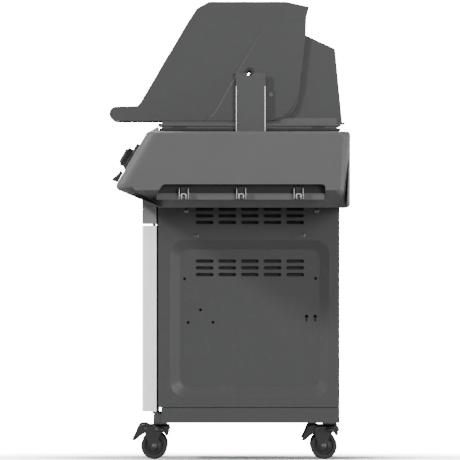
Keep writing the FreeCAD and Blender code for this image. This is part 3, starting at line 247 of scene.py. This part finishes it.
def spangled(slot):
    """Hot-dip galvanised sheet with its crystals and a film of grease."""
    zinc = Recipe(slot, Metallic=0.9)
    crystal = zinc.node("ShaderNodeTexVoronoi", {}, {"Vector": zinc.spot(), "Scale": 90}, "Color")
    level = zinc.node("ShaderNodeSeparateXYZ", {}, {0: crystal}, 0)
    grease = zinc.spread(zinc.grain(0.05, detail=5), 0.5, 0.8)
    tone = zinc.tint(level, shade(0.36, -0.02), shade(0.58, -0.02))
    return zinc.coat(zinc.tint(grease * 0.25, tone, (0.12, 0.08, 0.05, 1)),
                     0.34 + 0.18 * level - 0.1 * grease, level, 0.00002, 0.4)


def dial_card(slot):
    """Pale printed card or ink."""
    card = Recipe(slot)
    speck = card.grain(0.0008, detail=3)
    return card.coat(card.tint(speck, shade(0.62), shade(0.74)), 0.45 + 0.15 * speck, speck, 0.00002, 0.3)


lid_paint = powder_coat("lid_paint", 0.048, 0.40)
cart_paint = powder_coat("cart_paint", 0.04, 0.44)
frame_shaded_paint = powder_coat("cart_paint", 0.02, 0.5)  # the cart's paint as a darker copy: painted shade for the ring under the hood
apron_paint = powder_coat("apron_paint", 0.22, 0.42)
shelf_paint = powder_coat("shelf_paint", 0.075, 0.42)
bracket_paint = powder_coat("bracket_paint", 0.059, 0.36)
shelf_moulding = grained_moulding("shelf_moulding", 0.105, 0.46)
knob_plastic = grained_moulding("knob_plastic", 0.018, 0.38, 0.0007)
bezel_plastic = grained_moulding("bezel_plastic", 0.03, 0.34, 0.0009)
caster_plastic = grained_moulding("caster_plastic", 0.012, 0.34, 0.0008)
caster_tyre = rubber("caster_tyre", 0.02)
firebox_enamel = fired_enamel("firebox_enamel", 0.02)
grate_iron = cast_iron("grate_iron")
opener_cast = cast_iron("opener_cast")
stainless_door = brushed_metal("stainless_door", 0.72, 0.3, (1, 1, 0.02))
handle_tube = brushed_metal("handle_tube", 0.60, 0.24, (0.02, 1, 1))
thermometer_case = brushed_metal("thermometer_case", 0.66, 0.18, (1, 1, 1))
bright_fasteners = plated("bright_fasteners", 0.66, 0.2)
dark_fasteners = plated("dark_fasteners", 0.07, 0.38)
hook_wire = plated("hook_wire", 0.3, 0.3)
rack_chrome = plated("rack_chrome", 0.60, 0.14)
burner_steel = heated_steel("burner_steel")
galvanised_tray = spangled("galvanised_tray")
gas_tube = plated("gas_tube", 0.50, 0.26, 0.02)
stem_brass = plated("stem_brass", 0.45, 0.25, 0.35)
dial_face = dial_card("thermometer_case")
print_white = dial_card("bezel_plastic")


# ------------------------------------------------------------------ shapes, drawn in millimetres

def finish_mesh(mesh, crease):
    """Faces turned outwards, smooth up to the crease angle."""
    shape = bmesh.new()
    shape.from_mesh(mesh)
    bmesh.ops.recalc_face_normals(shape, faces=shape.faces)
    shape.to_mesh(mesh)
    shape.free()
    for face in mesh.polygons:
        face.use_smooth = True
    mesh.set_sharp_from_angle(angle=math.radians(crease))


def stand_in(thing, finish, body, nodes):
    """Put a piece on a body with its finish, in the place of the CAD nodes named."""
    thing.data.materials.clear()
    thing.data.materials.append(finish.material)
    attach(thing, body)
    if nodes:
        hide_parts(*nodes)
    return thing


def piece(name, shapes, finish, body, *nodes, crease=35, edge=0.0):
    """One object from several (points, faces) shapes, with its edges eased if asked."""
    points, faces = [], []
    for corners, sides in shapes:
        faces += [tuple(len(points) + index for index in side) for side in sides]
        points += [tuple(level * MM for level in corner) for corner in corners]
    mesh = bpy.data.meshes.new(name)
    mesh.from_pydata(points, [], faces)
    finish_mesh(mesh, crease)
    thing = bpy.data.objects.new(name, mesh)
    bpy.context.scene.collection.objects.link(thing)
    if edge:
        ease(thing, edge, crease)
    return stand_in(thing, finish, body, nodes)


def ease(thing, edge, crease, segments=2):
    """Break the long sharp edges over that many millimetres."""
    shape = bmesh.new()
    shape.from_mesh(thing.data)
    weight = shape.edges.layers.float.new("bevel_weight_edge")
    for line in shape.edges:
        sharp = len(line.link_faces) == 2 and line.calc_face_angle() > math.radians(crease)
        line[weight] = 1.0 if sharp and line.calc_length() > 3 * edge * MM else 0.0
    shape.to_mesh(thing.data)
    shape.free()
    bevel = thing.modifiers.new("broken edge", "BEVEL")
    bevel.width = edge * MM
    bevel.segments = segments
    bevel.limit_method = "WEIGHT"
    bevel.use_clamp_overlap = False
    bevel.miter_outer = "MITER_ARC"
    even = thing.modifiers.new("even shading", "WEIGHTED_NORMAL")
    even.keep_sharp = True


def dress(node, finish):
    """Keep a CAD node's shape and give it its finish."""
    thing = frame["nodes"][node]
    thing.data.materials.clear()
    thing.data.materials.append(finish.material)


def eased(node, finish, edge=0.5, crease=28):
    """A copy of a CAD node with broken edges, standing for it."""
    source = frame["nodes"][node]
    mesh = source.data.copy()
    shape = bmesh.new()
    shape.from_mesh(mesh)
    bmesh.ops.remove_doubles(shape, verts=shape.verts, dist=0.000002)
    bmesh.ops.dissolve_limit(shape, angle_limit=math.radians(0.4), verts=shape.verts, edges=shape.edges)
    bmesh.ops.triangulate(shape, faces=shape.faces)
    shape.to_mesh(mesh)
    shape.free()
    finish_mesh(mesh, crease)
    thing = bpy.data.objects.new(node + "_shell", mesh)
    bpy.context.scene.collection.objects.link(thing)
    ease(thing, edge, crease)
    return stand_in(thing, finish, source["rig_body"], [node])


def turned(profile, steps=48, ripple=None, closed=False):
    """A profile of (radius, height) turned about Z; closed joins its ends into a ring."""
    points = []
    for radius, height in profile:
        for step in range(steps):
            angle = math.tau * step / steps
            reach = radius + (ripple(angle, radius, height) if ripple else 0)
            points.append((reach * math.cos(angle), reach * math.sin(angle), height))
    rings = len(profile)
    faces = []
    for ring in range(rings if closed else rings - 1):
        after = (ring + 1) % rings
        for step in range(steps):
            side = (step + 1) % steps
            faces.append((ring * steps + step, ring * steps + side,
                          after * steps + side, after * steps + step))
    if not closed:
        faces.append(tuple(range(steps)))
        faces.append(tuple((rings - 1) * steps + step for step in range(steps)))
    return points, faces


def block(low, high):
    """A box between two opposite corners."""
    points = [(x, y, z) for x in (low[0], high[0]) for y in (low[1], high[1]) for z in (low[2], high[2])]
    return points, [(0, 1, 3, 2), (4, 6, 7, 5), (0, 4, 5, 1), (2, 3, 7, 6), (0, 2, 6, 4), (1, 5, 7, 3)]


def moved(shape, matrix):
    """The shape with every point put through the matrix."""
    points, faces = shape
    return [tuple(matrix @ Vector(point)) for point in points], faces


def at(x, y, z):
    return Matrix.Translation((x, y, z))


def sideways(x, y, z, sign=1):
    """Turns a shape's Z axis to point out of the right or left side, and moves it there."""
    return at(x, y, z) @ Matrix.Rotation(math.radians(90 * sign), 4, "Y")


def leaning(x, y, z, tilt):
    """Turns a shape's Z axis forwards by tilt degrees, and moves it there."""
    return at(x, y, z) @ Matrix.Rotation(math.radians(tilt), 4, "X")


def rounded(outline, radii, steps=8):
    """The outline with an arc of steps + 1 points at each corner."""
    points = []
    for index, corner in enumerate(outline):
        here = Vector(corner)
        back = (Vector(outline[index - 1]) - here).normalized()
        ahead = (Vector(outline[(index + 1) % len(outline)]) - here).normalized()
        half = back.angle(ahead) / 2
        middle = here + (back + ahead).normalized() * radii[index] / math.sin(half)
        start = here + back * radii[index] / math.tan(half) - middle
        end = here + ahead * radii[index] / math.tan(half) - middle
        turn = start.angle_signed(end)
        for step in range(steps + 1):
            arm = start.copy()
            arm.rotate(Matrix.Rotation(-turn * step / steps, 2))
            points.append(middle + arm)
    return points


def stacked(rings):
    """Skin over rings of points that follow each other, with both ends closed."""
    count = len(rings[0])
    points = [tuple(point) for ring in rings for point in ring]
    faces = []
    for ring in range(len(rings) - 1):
        for step in range(count):
            side = (step + 1) % count
            faces.append((ring * count + step, ring * count + side, (ring + 1) * count + side,
                          (ring + 1) * count + step))
    faces.append(tuple(range(count)))
    faces.append(tuple((len(rings) - 1) * count + step for step in range(count)))
    return points, faces


def wire(name, paths, radius, finish, body, *nodes):
    """Bent wires of one gauge as a single piece."""
    curve = bpy.data.curves.new(name, "CURVE")
    curve.dimensions = "3D"
    curve.bevel_depth = radius * MM
    curve.bevel_resolution = 4
    curve.resolution_u = 10
    curve.use_fill_caps = True
    for path in paths:
        line = curve.splines.new("NURBS")
        line.points.add(len(path) - 1)
        for point, place in zip(line.points, path):
            point.co = (place[0] * MM, place[1] * MM, place[2] * MM, 1)
        line.order_u = 3
        line.use_endpoint_u = True
    thing = bpy.data.objects.new(name, curve)
    bpy.context.scene.collection.objects.link(thing)
    return stand_in(thing, finish, body, nodes)


def carve(thing, shapes):
    """Take shapes away from a piece for good."""
    for number, (points, faces) in enumerate(shapes):
        mesh = bpy.data.meshes.new("cutter")
        mesh.from_pydata([tuple(level * MM for level in point) for point in points], [], faces)
        finish_mesh(mesh, 30)
        cutter = bpy.data.objects.new(f"cutter_{number}", mesh)
        bpy.context.scene.collection.objects.link(cutter)
        cut = thing.modifiers.new("cut", "BOOLEAN")
        cut.object = cutter
        cut.solver = "EXACT"
        bpy.context.view_layer.update()
        result = bpy.data.meshes.new_from_object(thing.evaluated_get(bpy.context.evaluated_depsgraph_get()))
        thing.modifiers.clear()
        thing.data = result
        bpy.data.objects.remove(cutter)


# ------------------------------------------------------------------ cart

for side, _ in SIDES:
    eased("cart_side_" + side, cart_paint, 0.5, 9)
    eased("door_" + side, stainless_door, 0.8)
    eased("shelf_" + side, shelf_paint, 0.7)
    eased("lid_side_" + side, lid_paint, 0.7, 20)
    eased("spit_bracket_" + side, bracket_paint, 0.6)
    eased("cooking_grate_" + side, grate_iron, 1.4)
# The vent baffles, a plate behind each group of side vents, wear the near-black rubber as painted shade for
# the cart's dark inside.
for node, finish, edge in (("base_front_trim", cart_paint, 0.5), ("door_seals", caster_tyre, 0.9),
                           ("base_pan", cart_paint, 0.5), ("cart_back", cart_paint, 0.5),
                           ("front_apron", apron_paint, 0.8),
                           ("top_frame", frame_shaded_paint, 0.5), ("control_panel", apron_paint, 0.7),
                           ("vent_baffles", caster_tyre, 0.5), ("rear_housing", lid_paint, 0.6),
                           ("lid_skin", lid_paint, 0.6), ("firebox", firebox_enamel, 0.5),
                           ("bottle_opener", opener_cast, 0.5), ("hinge_ears", bracket_paint, 0.5),
                           ("lid_handle_bar", handle_tube, 0.5)):
    eased(node, finish, edge)
for node, finish in (("door_hinge_pins", dark_fasteners), ("heat_tents", burner_steel),
                     ("warming_rack", rack_chrome), ("tray_runners", galvanised_tray),
                     ("grease_tray", galvanised_tray), ("valves", gas_tube), ("manifold", gas_tube),
                     ("burners", burner_steel), ("valve_stem_1", stem_brass), ("valve_stem_2", stem_brass),
                     ("valve_stem_3", stem_brass), ("lid_pivot_pins", dark_fasteners),
                     ("caster_plates", dark_fasteners)):
    dress(node, finish)


# ------------------------------------------------------------------ shelf ends

SHELF = [(-204, 821), (301.25, 821), (301.25, 631), (-173.75, 631), (-287.5, 679)]
SHELF_ROUND = [14, 9, 9, 30, 12]
CAP_FACE = [(-174, 813), (281.25, 813), (277.25, 674), (-238, 674), (-247, 688)]
CAP_ROUND = [18, 16, 14, 12, 8]
RECESS = [(-191, 651), (239, 651), (239, 689), (-166, 689)]
RECESS_ROUND = [7, 9, 9, 12]
CAP_ROOT = (602.6, 603.6)
CAP_SET_BACK = 60.6
SHOULDER, SHOULDER_REACH = 610, 22
CHAMFER, CHAMFER_REACH = 544, 88
RECESS_FLOOR = 606
HOOK_ROWS = [-114 + 143.25 * number for number in range(3)]
HOOK_GAUGE = 1.9
HOOK_HALF = 5.5
STRIP_HEIGHTS = (650, 667.5)
SADDLE_HALF, SADDLE_OUT, SADDLE_HEIGHTS = 9, 611, (660, 684)
TAB_STARTS, TAB_THICK, TAB_OUT, TAB_HEIGHTS = (-12.4, 9.8), 2.6, 622, (652.5, 680)


def cap_rings(sign):
    """Outline of the cap at each step outwards: a quarter-round shoulder, but a flat chamfer below."""
    wall = rounded(SHELF, SHELF_ROUND)
    face = rounded(CAP_FACE, CAP_ROUND)
    below = [min(1.0, max(0.0, (inner.y - outer.y - 12) / 24)) for outer, inner in zip(wall, face)]
    rings = [[(sign * (start - CAP_SET_BACK * flat), point.x, point.y) for point, flat in zip(wall, below)]
             for start in CAP_ROOT]
    for step in range(13):
        share = step / 12
        angle = share * math.pi / 2
        ring = []
        for outer, inner, flat in zip(wall, face, below):
            inward = (1 - flat) * (1 - math.cos(angle) ** 0.9) + flat * share
            level = SHOULDER + SHOULDER_REACH * math.sin(angle) ** 0.9
            reach = (1 - flat) * level + flat * (CHAMFER + CHAMFER_REACH * share)
            ring.append((sign * reach, *outer.lerp(inner, inward)))
        rings.append(ring)
    return rings


def hook_path(sign, y):
    """Wire loop whose legs come out of the recess and turn up to a closed tip."""
    leg = [(607, 669), (609, 657), (615, 652.6), (624, 652.6), (629, 656), (629.6, 661)]
    tip_x, tip_z = leg[-1][0], 665
    near = [(sign * x, y - HOOK_HALF, z) for x, z in leg]
    far = [(sign * x, y + HOOK_HALF, z) for x, z in reversed(leg)]
    return near + [(sign * tip_x, y - HOOK_HALF, tip_z), (sign * tip_x, y + HOOK_HALF, tip_z)] + far


for side, sign in SIDES:
    cap = piece("shelf_cap_" + side, [stacked(cap_rings(sign))], shelf_moulding, "cart", "shelf_end_" + side,
                crease=40)
    opening = rounded(RECESS, RECESS_ROUND)
    carve(cap, [stacked([[(sign * x, point.x, point.y) for point in opening] for x in (RECESS_FLOOR, 645)])])
    cap.data.materials.clear()
    cap.data.materials.append(shelf_moulding.material)
    cap.data.set_sharp_from_angle(angle=math.radians(40))
    ease(cap, 1.2, 42, 3)
    wire("tool_hooks_" + side, [hook_path(sign, y) for y in HOOK_ROWS], HOOK_GAUGE, hook_wire, "cart",
         "hook_rail_" + side)
    # A near-black sheet over the back wall of the hook recess: painted shade for the wall under the recess's
    # top lip.
    shade_rings = [[(sign * x, point.x, point.y) for point in opening]
               for x in (RECESS_FLOOR - 0.4, RECESS_FLOOR + 0.6)]
    piece("hook_painted_shade_" + side, [stacked(shade_rings)], caster_tyre, "cart")
    strip = [(RECESS_FLOOR, -184), (RECESS_FLOOR, 237), (609, 237), (609, -172)]
    piece("hook_strip_" + side, [stacked([[(sign * x, y, z) for x, y in strip] for z in STRIP_HEIGHTS])],
          shelf_moulding, "cart", edge=1.1)
    saddles, tabs = [], []
    for y in HOOK_ROWS:
        saddles.append(block((sign * RECESS_FLOOR, y - SADDLE_HALF, SADDLE_HEIGHTS[0]),
                             (sign * SADDLE_OUT, y + SADDLE_HALF, SADDLE_HEIGHTS[1])))
        for start in TAB_STARTS:
            tabs.append(block((sign * RECESS_FLOOR, y + start, TAB_HEIGHTS[0]),
                              (sign * TAB_OUT, y + start + TAB_THICK, TAB_HEIGHTS[1])))
    piece("hook_saddles_" + side, saddles, caster_plastic, "cart", edge=1.4)
    piece("hook_tabs_" + side, tabs, hook_wire, "cart", edge=0.9)


# ------------------------------------------------------------------ knobs, gauge, lid fittings

KNOB_PLACE = (-246.6, 751)
KNOB_PITCH = 205
TILT = 60.379
KNOB_SIDE = [(23.4, 6.6), (24.5, 7.6), (24.5, 18.5), (24, 20.2), (22.6, 21.2), (19.6, 21.5), (18.6, 20.6),
             (0.6, 19.8)]
GRIP = [(-4.2, -19), (4.2, -19), (5.4, 19), (-5.4, 19)]
GRIP_RISE = ((19.4, 1.04), (23.6, 1.0), (24.8, 0.96), (25.4, 0.88))
BEZEL = [(-29, -30.5), (29, -30.5), (29, 44.5), (-29, 44.5)]
BEZEL_RISE = ((0, 1), (2.2, 1), (2.8, 0.99), (3, 0.975))
BEZEL_MIDDLE = 7
BROW = [(-28.2, 16), (-28.2, 43.6), (28.2, 43.6), (28.2, 16)]
BROW_RISE = ((2.6, 1), (7.2, 0.985), (8.2, 0.96), (8.5, 0.93))
BROW_MIDDLE = 30
BROW_ARCH = 27.6
COLLAR = [(25.1, 2.6), (25.1, 7), (25.8, 7.7), (27.6, 7.7), (28.4, 6.8), (28.4, 2.6)]


def flutes(angle, radius, height):
    """Finger flutes that fade out at both rims of the skirt."""
    if radius < 24.2 or height < 7:
        return 0
    return -1.5 * max(0.0, math.cos(24 * angle)) ** 1.5


for number in (1, 2, 3):
    x = (number - 2) * KNOB_PITCH
    stand = leaning(x, *KNOB_PLACE, TILT)
    skirt = moved(turned(KNOB_SIDE, 192, flutes), stand)
    grip = rounded(GRIP, [3.5] * 4)
    rises = [[(px * scale, py * scale, z) for px, py in grip] for z, scale in GRIP_RISE]
    piece(f"control_knob_{number}", [skirt, moved(stacked(rises), stand)], knob_plastic, f"knob_{number}",
          f"knob_{number}", crease=32)
    mark = block((-0.8, 8, 25.2), (0.8, 16.5, 25.6))
    piece(f"knob_mark_{number}", [moved(mark, stand)], print_white, f"knob_{number}", edge=0.15)
    plate = rounded(BEZEL, [20] * 4, 12)
    layers = [[(px * scale, BEZEL_MIDDLE + (py - BEZEL_MIDDLE) * scale, z) for px, py in plate]
              for z, scale in BEZEL_RISE]
    angles = [math.radians(30 + 7.5 * step) for step in range(17)]
    arch = [(BROW_ARCH * math.cos(angle), BROW_ARCH * math.sin(angle)) for angle in angles]
    brow = arch + [tuple(point) for point in rounded(BROW, [1, 19.5, 19.5, 1], 12)]
    rise = [[(px * scale, BROW_MIDDLE + (py - BROW_MIDDLE) * scale, z) for px, py in brow]
            for z, scale in BROW_RISE]
    nodes = ["knob_bezels"] if number == 1 else []
    collar = turned(COLLAR, 72, closed=True)
    surround = [moved(shape, stand) for shape in (stacked(layers), stacked(rise), collar)]
    piece(f"knob_surround_{number}", surround, bezel_plastic, "cart", *nodes, crease=36)
    marks = []
    for step in range(9):
        turn = Matrix.Rotation(math.radians(-130 + 16.25 * step), 4, "Z")
        marks.append(moved(block((-0.4, 25.2, 2.9), (0.4, 26.4 + 0.1 * step, 3.1)), stand @ turn))
    for bar in range(3):  # three bars of rising height on the brow
        marks.append(moved(block((-6 + 4.5 * bar, 32, 8.4), (-3 + 4.5 * bar, 33.5 + 2.2 * bar, 8.62)), stand))
    piece(f"knob_scale_{number}", marks, print_white, "cart", edge=0.04)

GAUGE = leaning(0, -160.74, 995, 59.55)
CASE = [(29, 0.2), (30, 1.6), (29.6, 4.6), (28, 6), (26, 6), (25.2, 4.8), (25, 2.4), (23.5, 2), (23.5, -14),
        (3.6, -15), (3.5, -60), (2.4, -62)]
piece("gauge_case", [moved(turned(CASE, 96), GAUGE)], thermometer_case, "lid", "lid_thermometer", crease=32)
piece("gauge_card", [moved(turned([(25.1, 2.5), (25.1, 3.1), (0.4, 3.2)], 64), GAUGE)], dial_face, "lid")
ticks = []
for step in range(25):
    turn = GAUGE @ Matrix.Rotation(math.radians(-135 + 11.25 * step), 4, "Z")
    long = 4.4 if step % 4 == 0 else 2.4
    ticks.append(moved(block((-0.3, 23 - long, 3.1), (0.3, 23, 3.35)), turn))
needle = moved(block((-0.6, -5, 3.9), (0.6, 17, 4.2)), GAUGE @ Matrix.Rotation(math.radians(118), 4, "Z"))
boss = moved(turned([(2.4, 3.1), (2.4, 4.4), (1.6, 4.9), (0.2, 5)], 24), GAUGE)
piece("gauge_needle", ticks + [needle, boss], knob_plastic, "lid")


def split_shade_ring(sign, y, z, inner, outer, start, sweep, x_low, x_high, steps=40):
    """A split ring around the X axis, with rounded shoulders; near-black, it is painted shade for the shaded
    inside of the spit hole.
    """
    rings = []
    for step in range(steps + 1):
        angle = math.radians(start + sweep * step / steps)
        corners = [(inner, x_low + 0.8), (inner + 0.8, x_low), (outer - 0.8, x_low), (outer, x_low + 0.8),
                   (outer, x_high - 0.8), (outer - 0.8, x_high), (inner + 0.8, x_high), (inner, x_high - 0.8)]
        rings.append([(sign * x, y + radius * math.cos(angle), z + radius * math.sin(angle))
                      for radius, x in corners])
    return stacked(rings)


SPIT = (50, 971.25)
SPIT_SHADE_RING = {"inner": 3.8, "outer": 11.2, "start": -100, "sweep": 300, "x_low": 338.2, "x_high": 342}
HIGHLIGHT_X, HIGHLIGHT_STARTS, HIGHLIGHT_THICK, HIGHLIGHT_HEIGHTS = (353.4, 356), (16.3, 88.4), 1.5, (821.2, 936)
BAR = (334, -283.35, 866.4)
BAR_CAP = [(13.5, -1.5), (15.4, -1.5), (15.6, 0.6), (14.6, 1.6), (10, 2), (0.5, 2.1)]

for side, sign in SIDES:
    # A near-black split ring in each spit hole: painted shade for the hole's shaded inner wall, left open at
    # its lower front.
    ring = split_shade_ring(sign, *SPIT, **SPIT_SHADE_RING)
    piece("spit_hole_shade_" + side, [ring], knob_plastic, "lid", crease=40)
    # Bright plated strips down both folded edges of the spit bracket: painted highlights for the light caught
    # on the folds.
    highlight_strips = [block((sign * HIGHLIGHT_X[0], y, HIGHLIGHT_HEIGHTS[0]), (sign * HIGHLIGHT_X[1], y + HIGHLIGHT_THICK, HIGHLIGHT_HEIGHTS[1]))
            for y in HIGHLIGHT_STARTS]
    piece("bracket_edge_highlights_" + side, highlight_strips, bright_fasteners, "cart", edge=0.4)
    end = sideways(sign * BAR[0], BAR[1], BAR[2], sign)
    piece("handle_cap_" + side, [moved(turned(BAR_CAP, 48), end)], knob_plastic, "lid", crease=32)


# ------------------------------------------------------------------ fasteners and seals on the side panels

PANEL_FACE = 340.02
SCREWS = ((-82.75, 560, 4, 2.6), (185, 561, 4, 2.6), (-108, 623.5, 5, 3.6), (219, 623.5, 5, 3.6))
SEAL_X = (318, 322.5)
SEAL_Y = (-182.8, -178.6)
TIP_HEIGHTS = ((627, 634.2), (114.3, 134))


def dome(radius, proud, washer):
    """Pan head with a washer under it, along Z."""
    return turned([(radius + washer, 0), (radius + washer, 0.7), (radius + washer - 0.3, 0.9),
                   (radius + 0.05, 0.95), (radius, 1.3), (radius * 0.94, proud * 0.62),
                   (radius * 0.74, proud * 0.88), (radius * 0.42, proud * 0.98), (0.3, proud)], 32)


for side, sign in SIDES:
    heads, slots = [], []
    for y, z, radius, proud in SCREWS:
        spot = sideways(sign * PANEL_FACE, y, z, sign)
        heads.append(moved(dome(radius, proud, 1.2), spot))
        # Near-black crosses set into each head: painted shade for the screw's cross recess.
        for turn in (0, 90):
            cross = spot @ Matrix.Rotation(math.radians(turn + 12), 4, "Z")
            slot = block((-radius * 0.55, -0.45, proud - 0.35), (radius * 0.55, 0.45, proud + 0.04))
            slots.append(moved(slot, cross))
    nodes = ["panel_screws"] if side == "right" else []
    piece("panel_heads_" + side, heads, dark_fasteners, "cart", *nodes, crease=32)
    piece("head_recess_shades_" + side, slots, knob_plastic, "cart", edge=0.1)

for side, sign in SIDES:
    near, far = sorted(sign * x for x in SEAL_X)
    tips = [block((near, SEAL_Y[0], low), (far, SEAL_Y[1], high)) for low, high in TIP_HEIGHTS]
    piece("seal_tips_" + side, tips, caster_tyre, "cart", edge=0.3)


# ------------------------------------------------------------------ casters

CASTER_X, FRONT_Y, REAR_Y = 298, -174, 252
TRAIL, AXLE_HIGH = 15.25, 33
PEDAL_BACK, PEDAL_HIGH = 34, 76
FORK_FACE = 19.6
NUT_RADIUS = 7.4
NUT_RISE = ((82.6, 0.94), (83.4, 1), (87, 1), (87.8, 0.94))
TYRE = [(23.5, 11), (24.5, 11.9), (28.5, 12), (31.3, 10.6), (32.8, 7.5), (33, 3), (33, -3), (32.8, -7.5),
        (31.3, -10.6), (28.5, -12), (24.5, -11.9), (23.5, -11)]
RIM_HALF = [(4.7, 15), (8.6, 15), (9.6, 14.2), (10, 12.5), (11, 9.8), (14, 8.8), (20.6, 8.8), (21.6, 9.6),
            (22.4, 11.4), (24.3, 11.6)]
RIM = RIM_HALF + [(radius, -height) for radius, height in reversed(RIM_HALF)]
CROWN = [(23.6, 70.5), (24.2, 72), (23.6, 75.5), (21.5, 78.6), (17.5, 80.9), (16.5, 82.4), (13, 83.2),
         (12.6, 87.2), (11.6, 87.7), (5.2, 87.8)]


def ribs(angle, radius, height):
    """Stiffening ribs in the dish of the wheel."""
    return 0.25 * math.sin(10 * angle) if 12 < radius < 21 else 0.0


for corner in ("front_right", "front_left", "rear_right", "rear_left"):
    x = CASTER_X * (1 if corner.endswith("right") else -1)
    y = FRONT_Y if corner.startswith("front") else REAR_Y
    axle = sideways(x, y - TRAIL, AXLE_HIGH)
    piece("tyre_" + corner, [moved(turned(TYRE, 96, closed=True), axle)], caster_tyre, "wheel_" + corner,
          crease=50)
    piece("wheel_core_" + corner, [moved(turned(RIM, 80, ribs, closed=True), axle)], caster_plastic,
          "wheel_" + corner, "caster_wheel_" + corner, crease=32)
    eased("caster_fork_" + corner, caster_plastic, 1.3)
    eased("brake_lever_" + corner, caster_plastic, 1.8)
    piece("crown_" + corner, [moved(turned(CROWN, 64), at(x, y, 0))], caster_plastic, "swivel_" + corner,
          crease=32)
    flats = [math.radians(60 * step) for step in range(6)]
    nut = [[(NUT_RADIUS * scale * math.cos(flat), NUT_RADIUS * scale * math.sin(flat), z) for flat in flats]
           for z, scale in NUT_RISE]
    bolts = []
    for way in (1, -1):
        face = x + way * FORK_FACE
        bolts.append(moved(dome(4.4, 2.6, 1.6), sideways(face, y - TRAIL, AXLE_HIGH, way)))
        bolts.append(moved(dome(2.6, 1.6, 0.4), sideways(face, y - PEDAL_BACK, PEDAL_HIGH, way)))
    piece("axle_heads_" + corner, bolts, dark_fasteners, "swivel_" + corner, crease=32)
    piece("stem_nut_" + corner, [moved(stacked(nut), at(x, y, 0))], bright_fasteners, "swivel_" + corner,
          crease=32, edge=0.3)


# ------------------------------------------------------------------ room, light and camera

FLOOR_RADIUS = 1.6
FLOOR_FADE = (0.35, 1.3)
EYE_PLACE = (45, 0.00125, 0.575)
EYE_LENS = 1393.4

bpy.ops.mesh.primitive_circle_add(vertices=96, radius=FLOOR_RADIUS, fill_type="NGON",
                                  location=(0, 0, -0.0008))
floor = bpy.context.object
floor.name = "studio_floor"
ground = Recipe("studio_floor")
ground.coat(ground.tint(ground.grain(0.4), shade(0.84), shade(0.86)), 0.7 + 0.1 * ground.grain(0.2))
reach = ground.node("ShaderNodeVectorMath", {"operation": "LENGTH"}, {0: ground.spot()}, "Value")
ground.feed(ground.shader, {"Alpha": 1 - ground.spread(reach, *FLOOR_FADE)})
floor.data.materials.append(ground.material)

world = bpy.data.worlds.new("studio")
bpy.context.scene.world = world
world.use_nodes = True
sky = world.node_tree.nodes["Background"]
sky.inputs["Color"].default_value = (1, 1, 1, 1)
seen = world.node_tree.nodes.new("ShaderNodeLightPath")
# strength of the room for matt faces, for gloss, and behind the grill
diffuse, mirrored, direct = 0.04, 1.7, 18.0
shine = world.node_tree.nodes.new("ShaderNodeMapRange")
shine.inputs["To Min"].default_value = diffuse
shine.inputs["To Max"].default_value = mirrored
level = world.node_tree.nodes.new("ShaderNodeMapRange")
level.inputs["To Max"].default_value = direct
world.node_tree.links.new(seen.outputs["Is Glossy Ray"], shine.inputs["Value"])
world.node_tree.links.new(shine.outputs["Result"], level.inputs["To Min"])
world.node_tree.links.new(seen.outputs["Is Camera Ray"], level.inputs["Value"])
world.node_tree.links.new(level.outputs["Result"], sky.inputs["Strength"])


def lamp(name, towards, distance, size, power, aim=(0, 0, 0.62)):
    """Square soft box of that power in watts, distance metres away in that direction, facing the grill."""
    light = bpy.data.lights.new(name, "AREA")
    light.size = size
    light.energy = power
    thing = bpy.data.objects.new(name, light)
    bpy.context.scene.collection.objects.link(thing)
    way = Vector(towards).normalized()
    thing.location = Vector(aim) + way * distance
    thing.rotation_euler = way.to_track_quat("Z", "Y").to_euler()


lamp("key", (0.52, -0.71, 0.47), 6.0, 0.6, 325)
lamp("fill", (0.8, 0.4, 0.16), 6.0, 1.6, 200)
lamp("left fill", (-0.8, -0.1, 0.5), 6.0, 1.6, 210)
lamp("front rim", (0.12, -1, 0.1), 5.0, 2.6, 130)
lamp("rear rim", (0.12, 1, 0.1), 5.0, 2.6, 160)

eye = bpy.data.cameras.new("eye")
eye.lens = EYE_LENS
eye.sensor_width = 36
eye.clip_end = 100
camera = bpy.data.objects.new("eye", eye)
bpy.context.scene.collection.objects.link(camera)
camera.location = EYE_PLACE
camera.rotation_euler = (math.pi / 2, 0, math.pi / 2)
bpy.context.scene.camera = camera
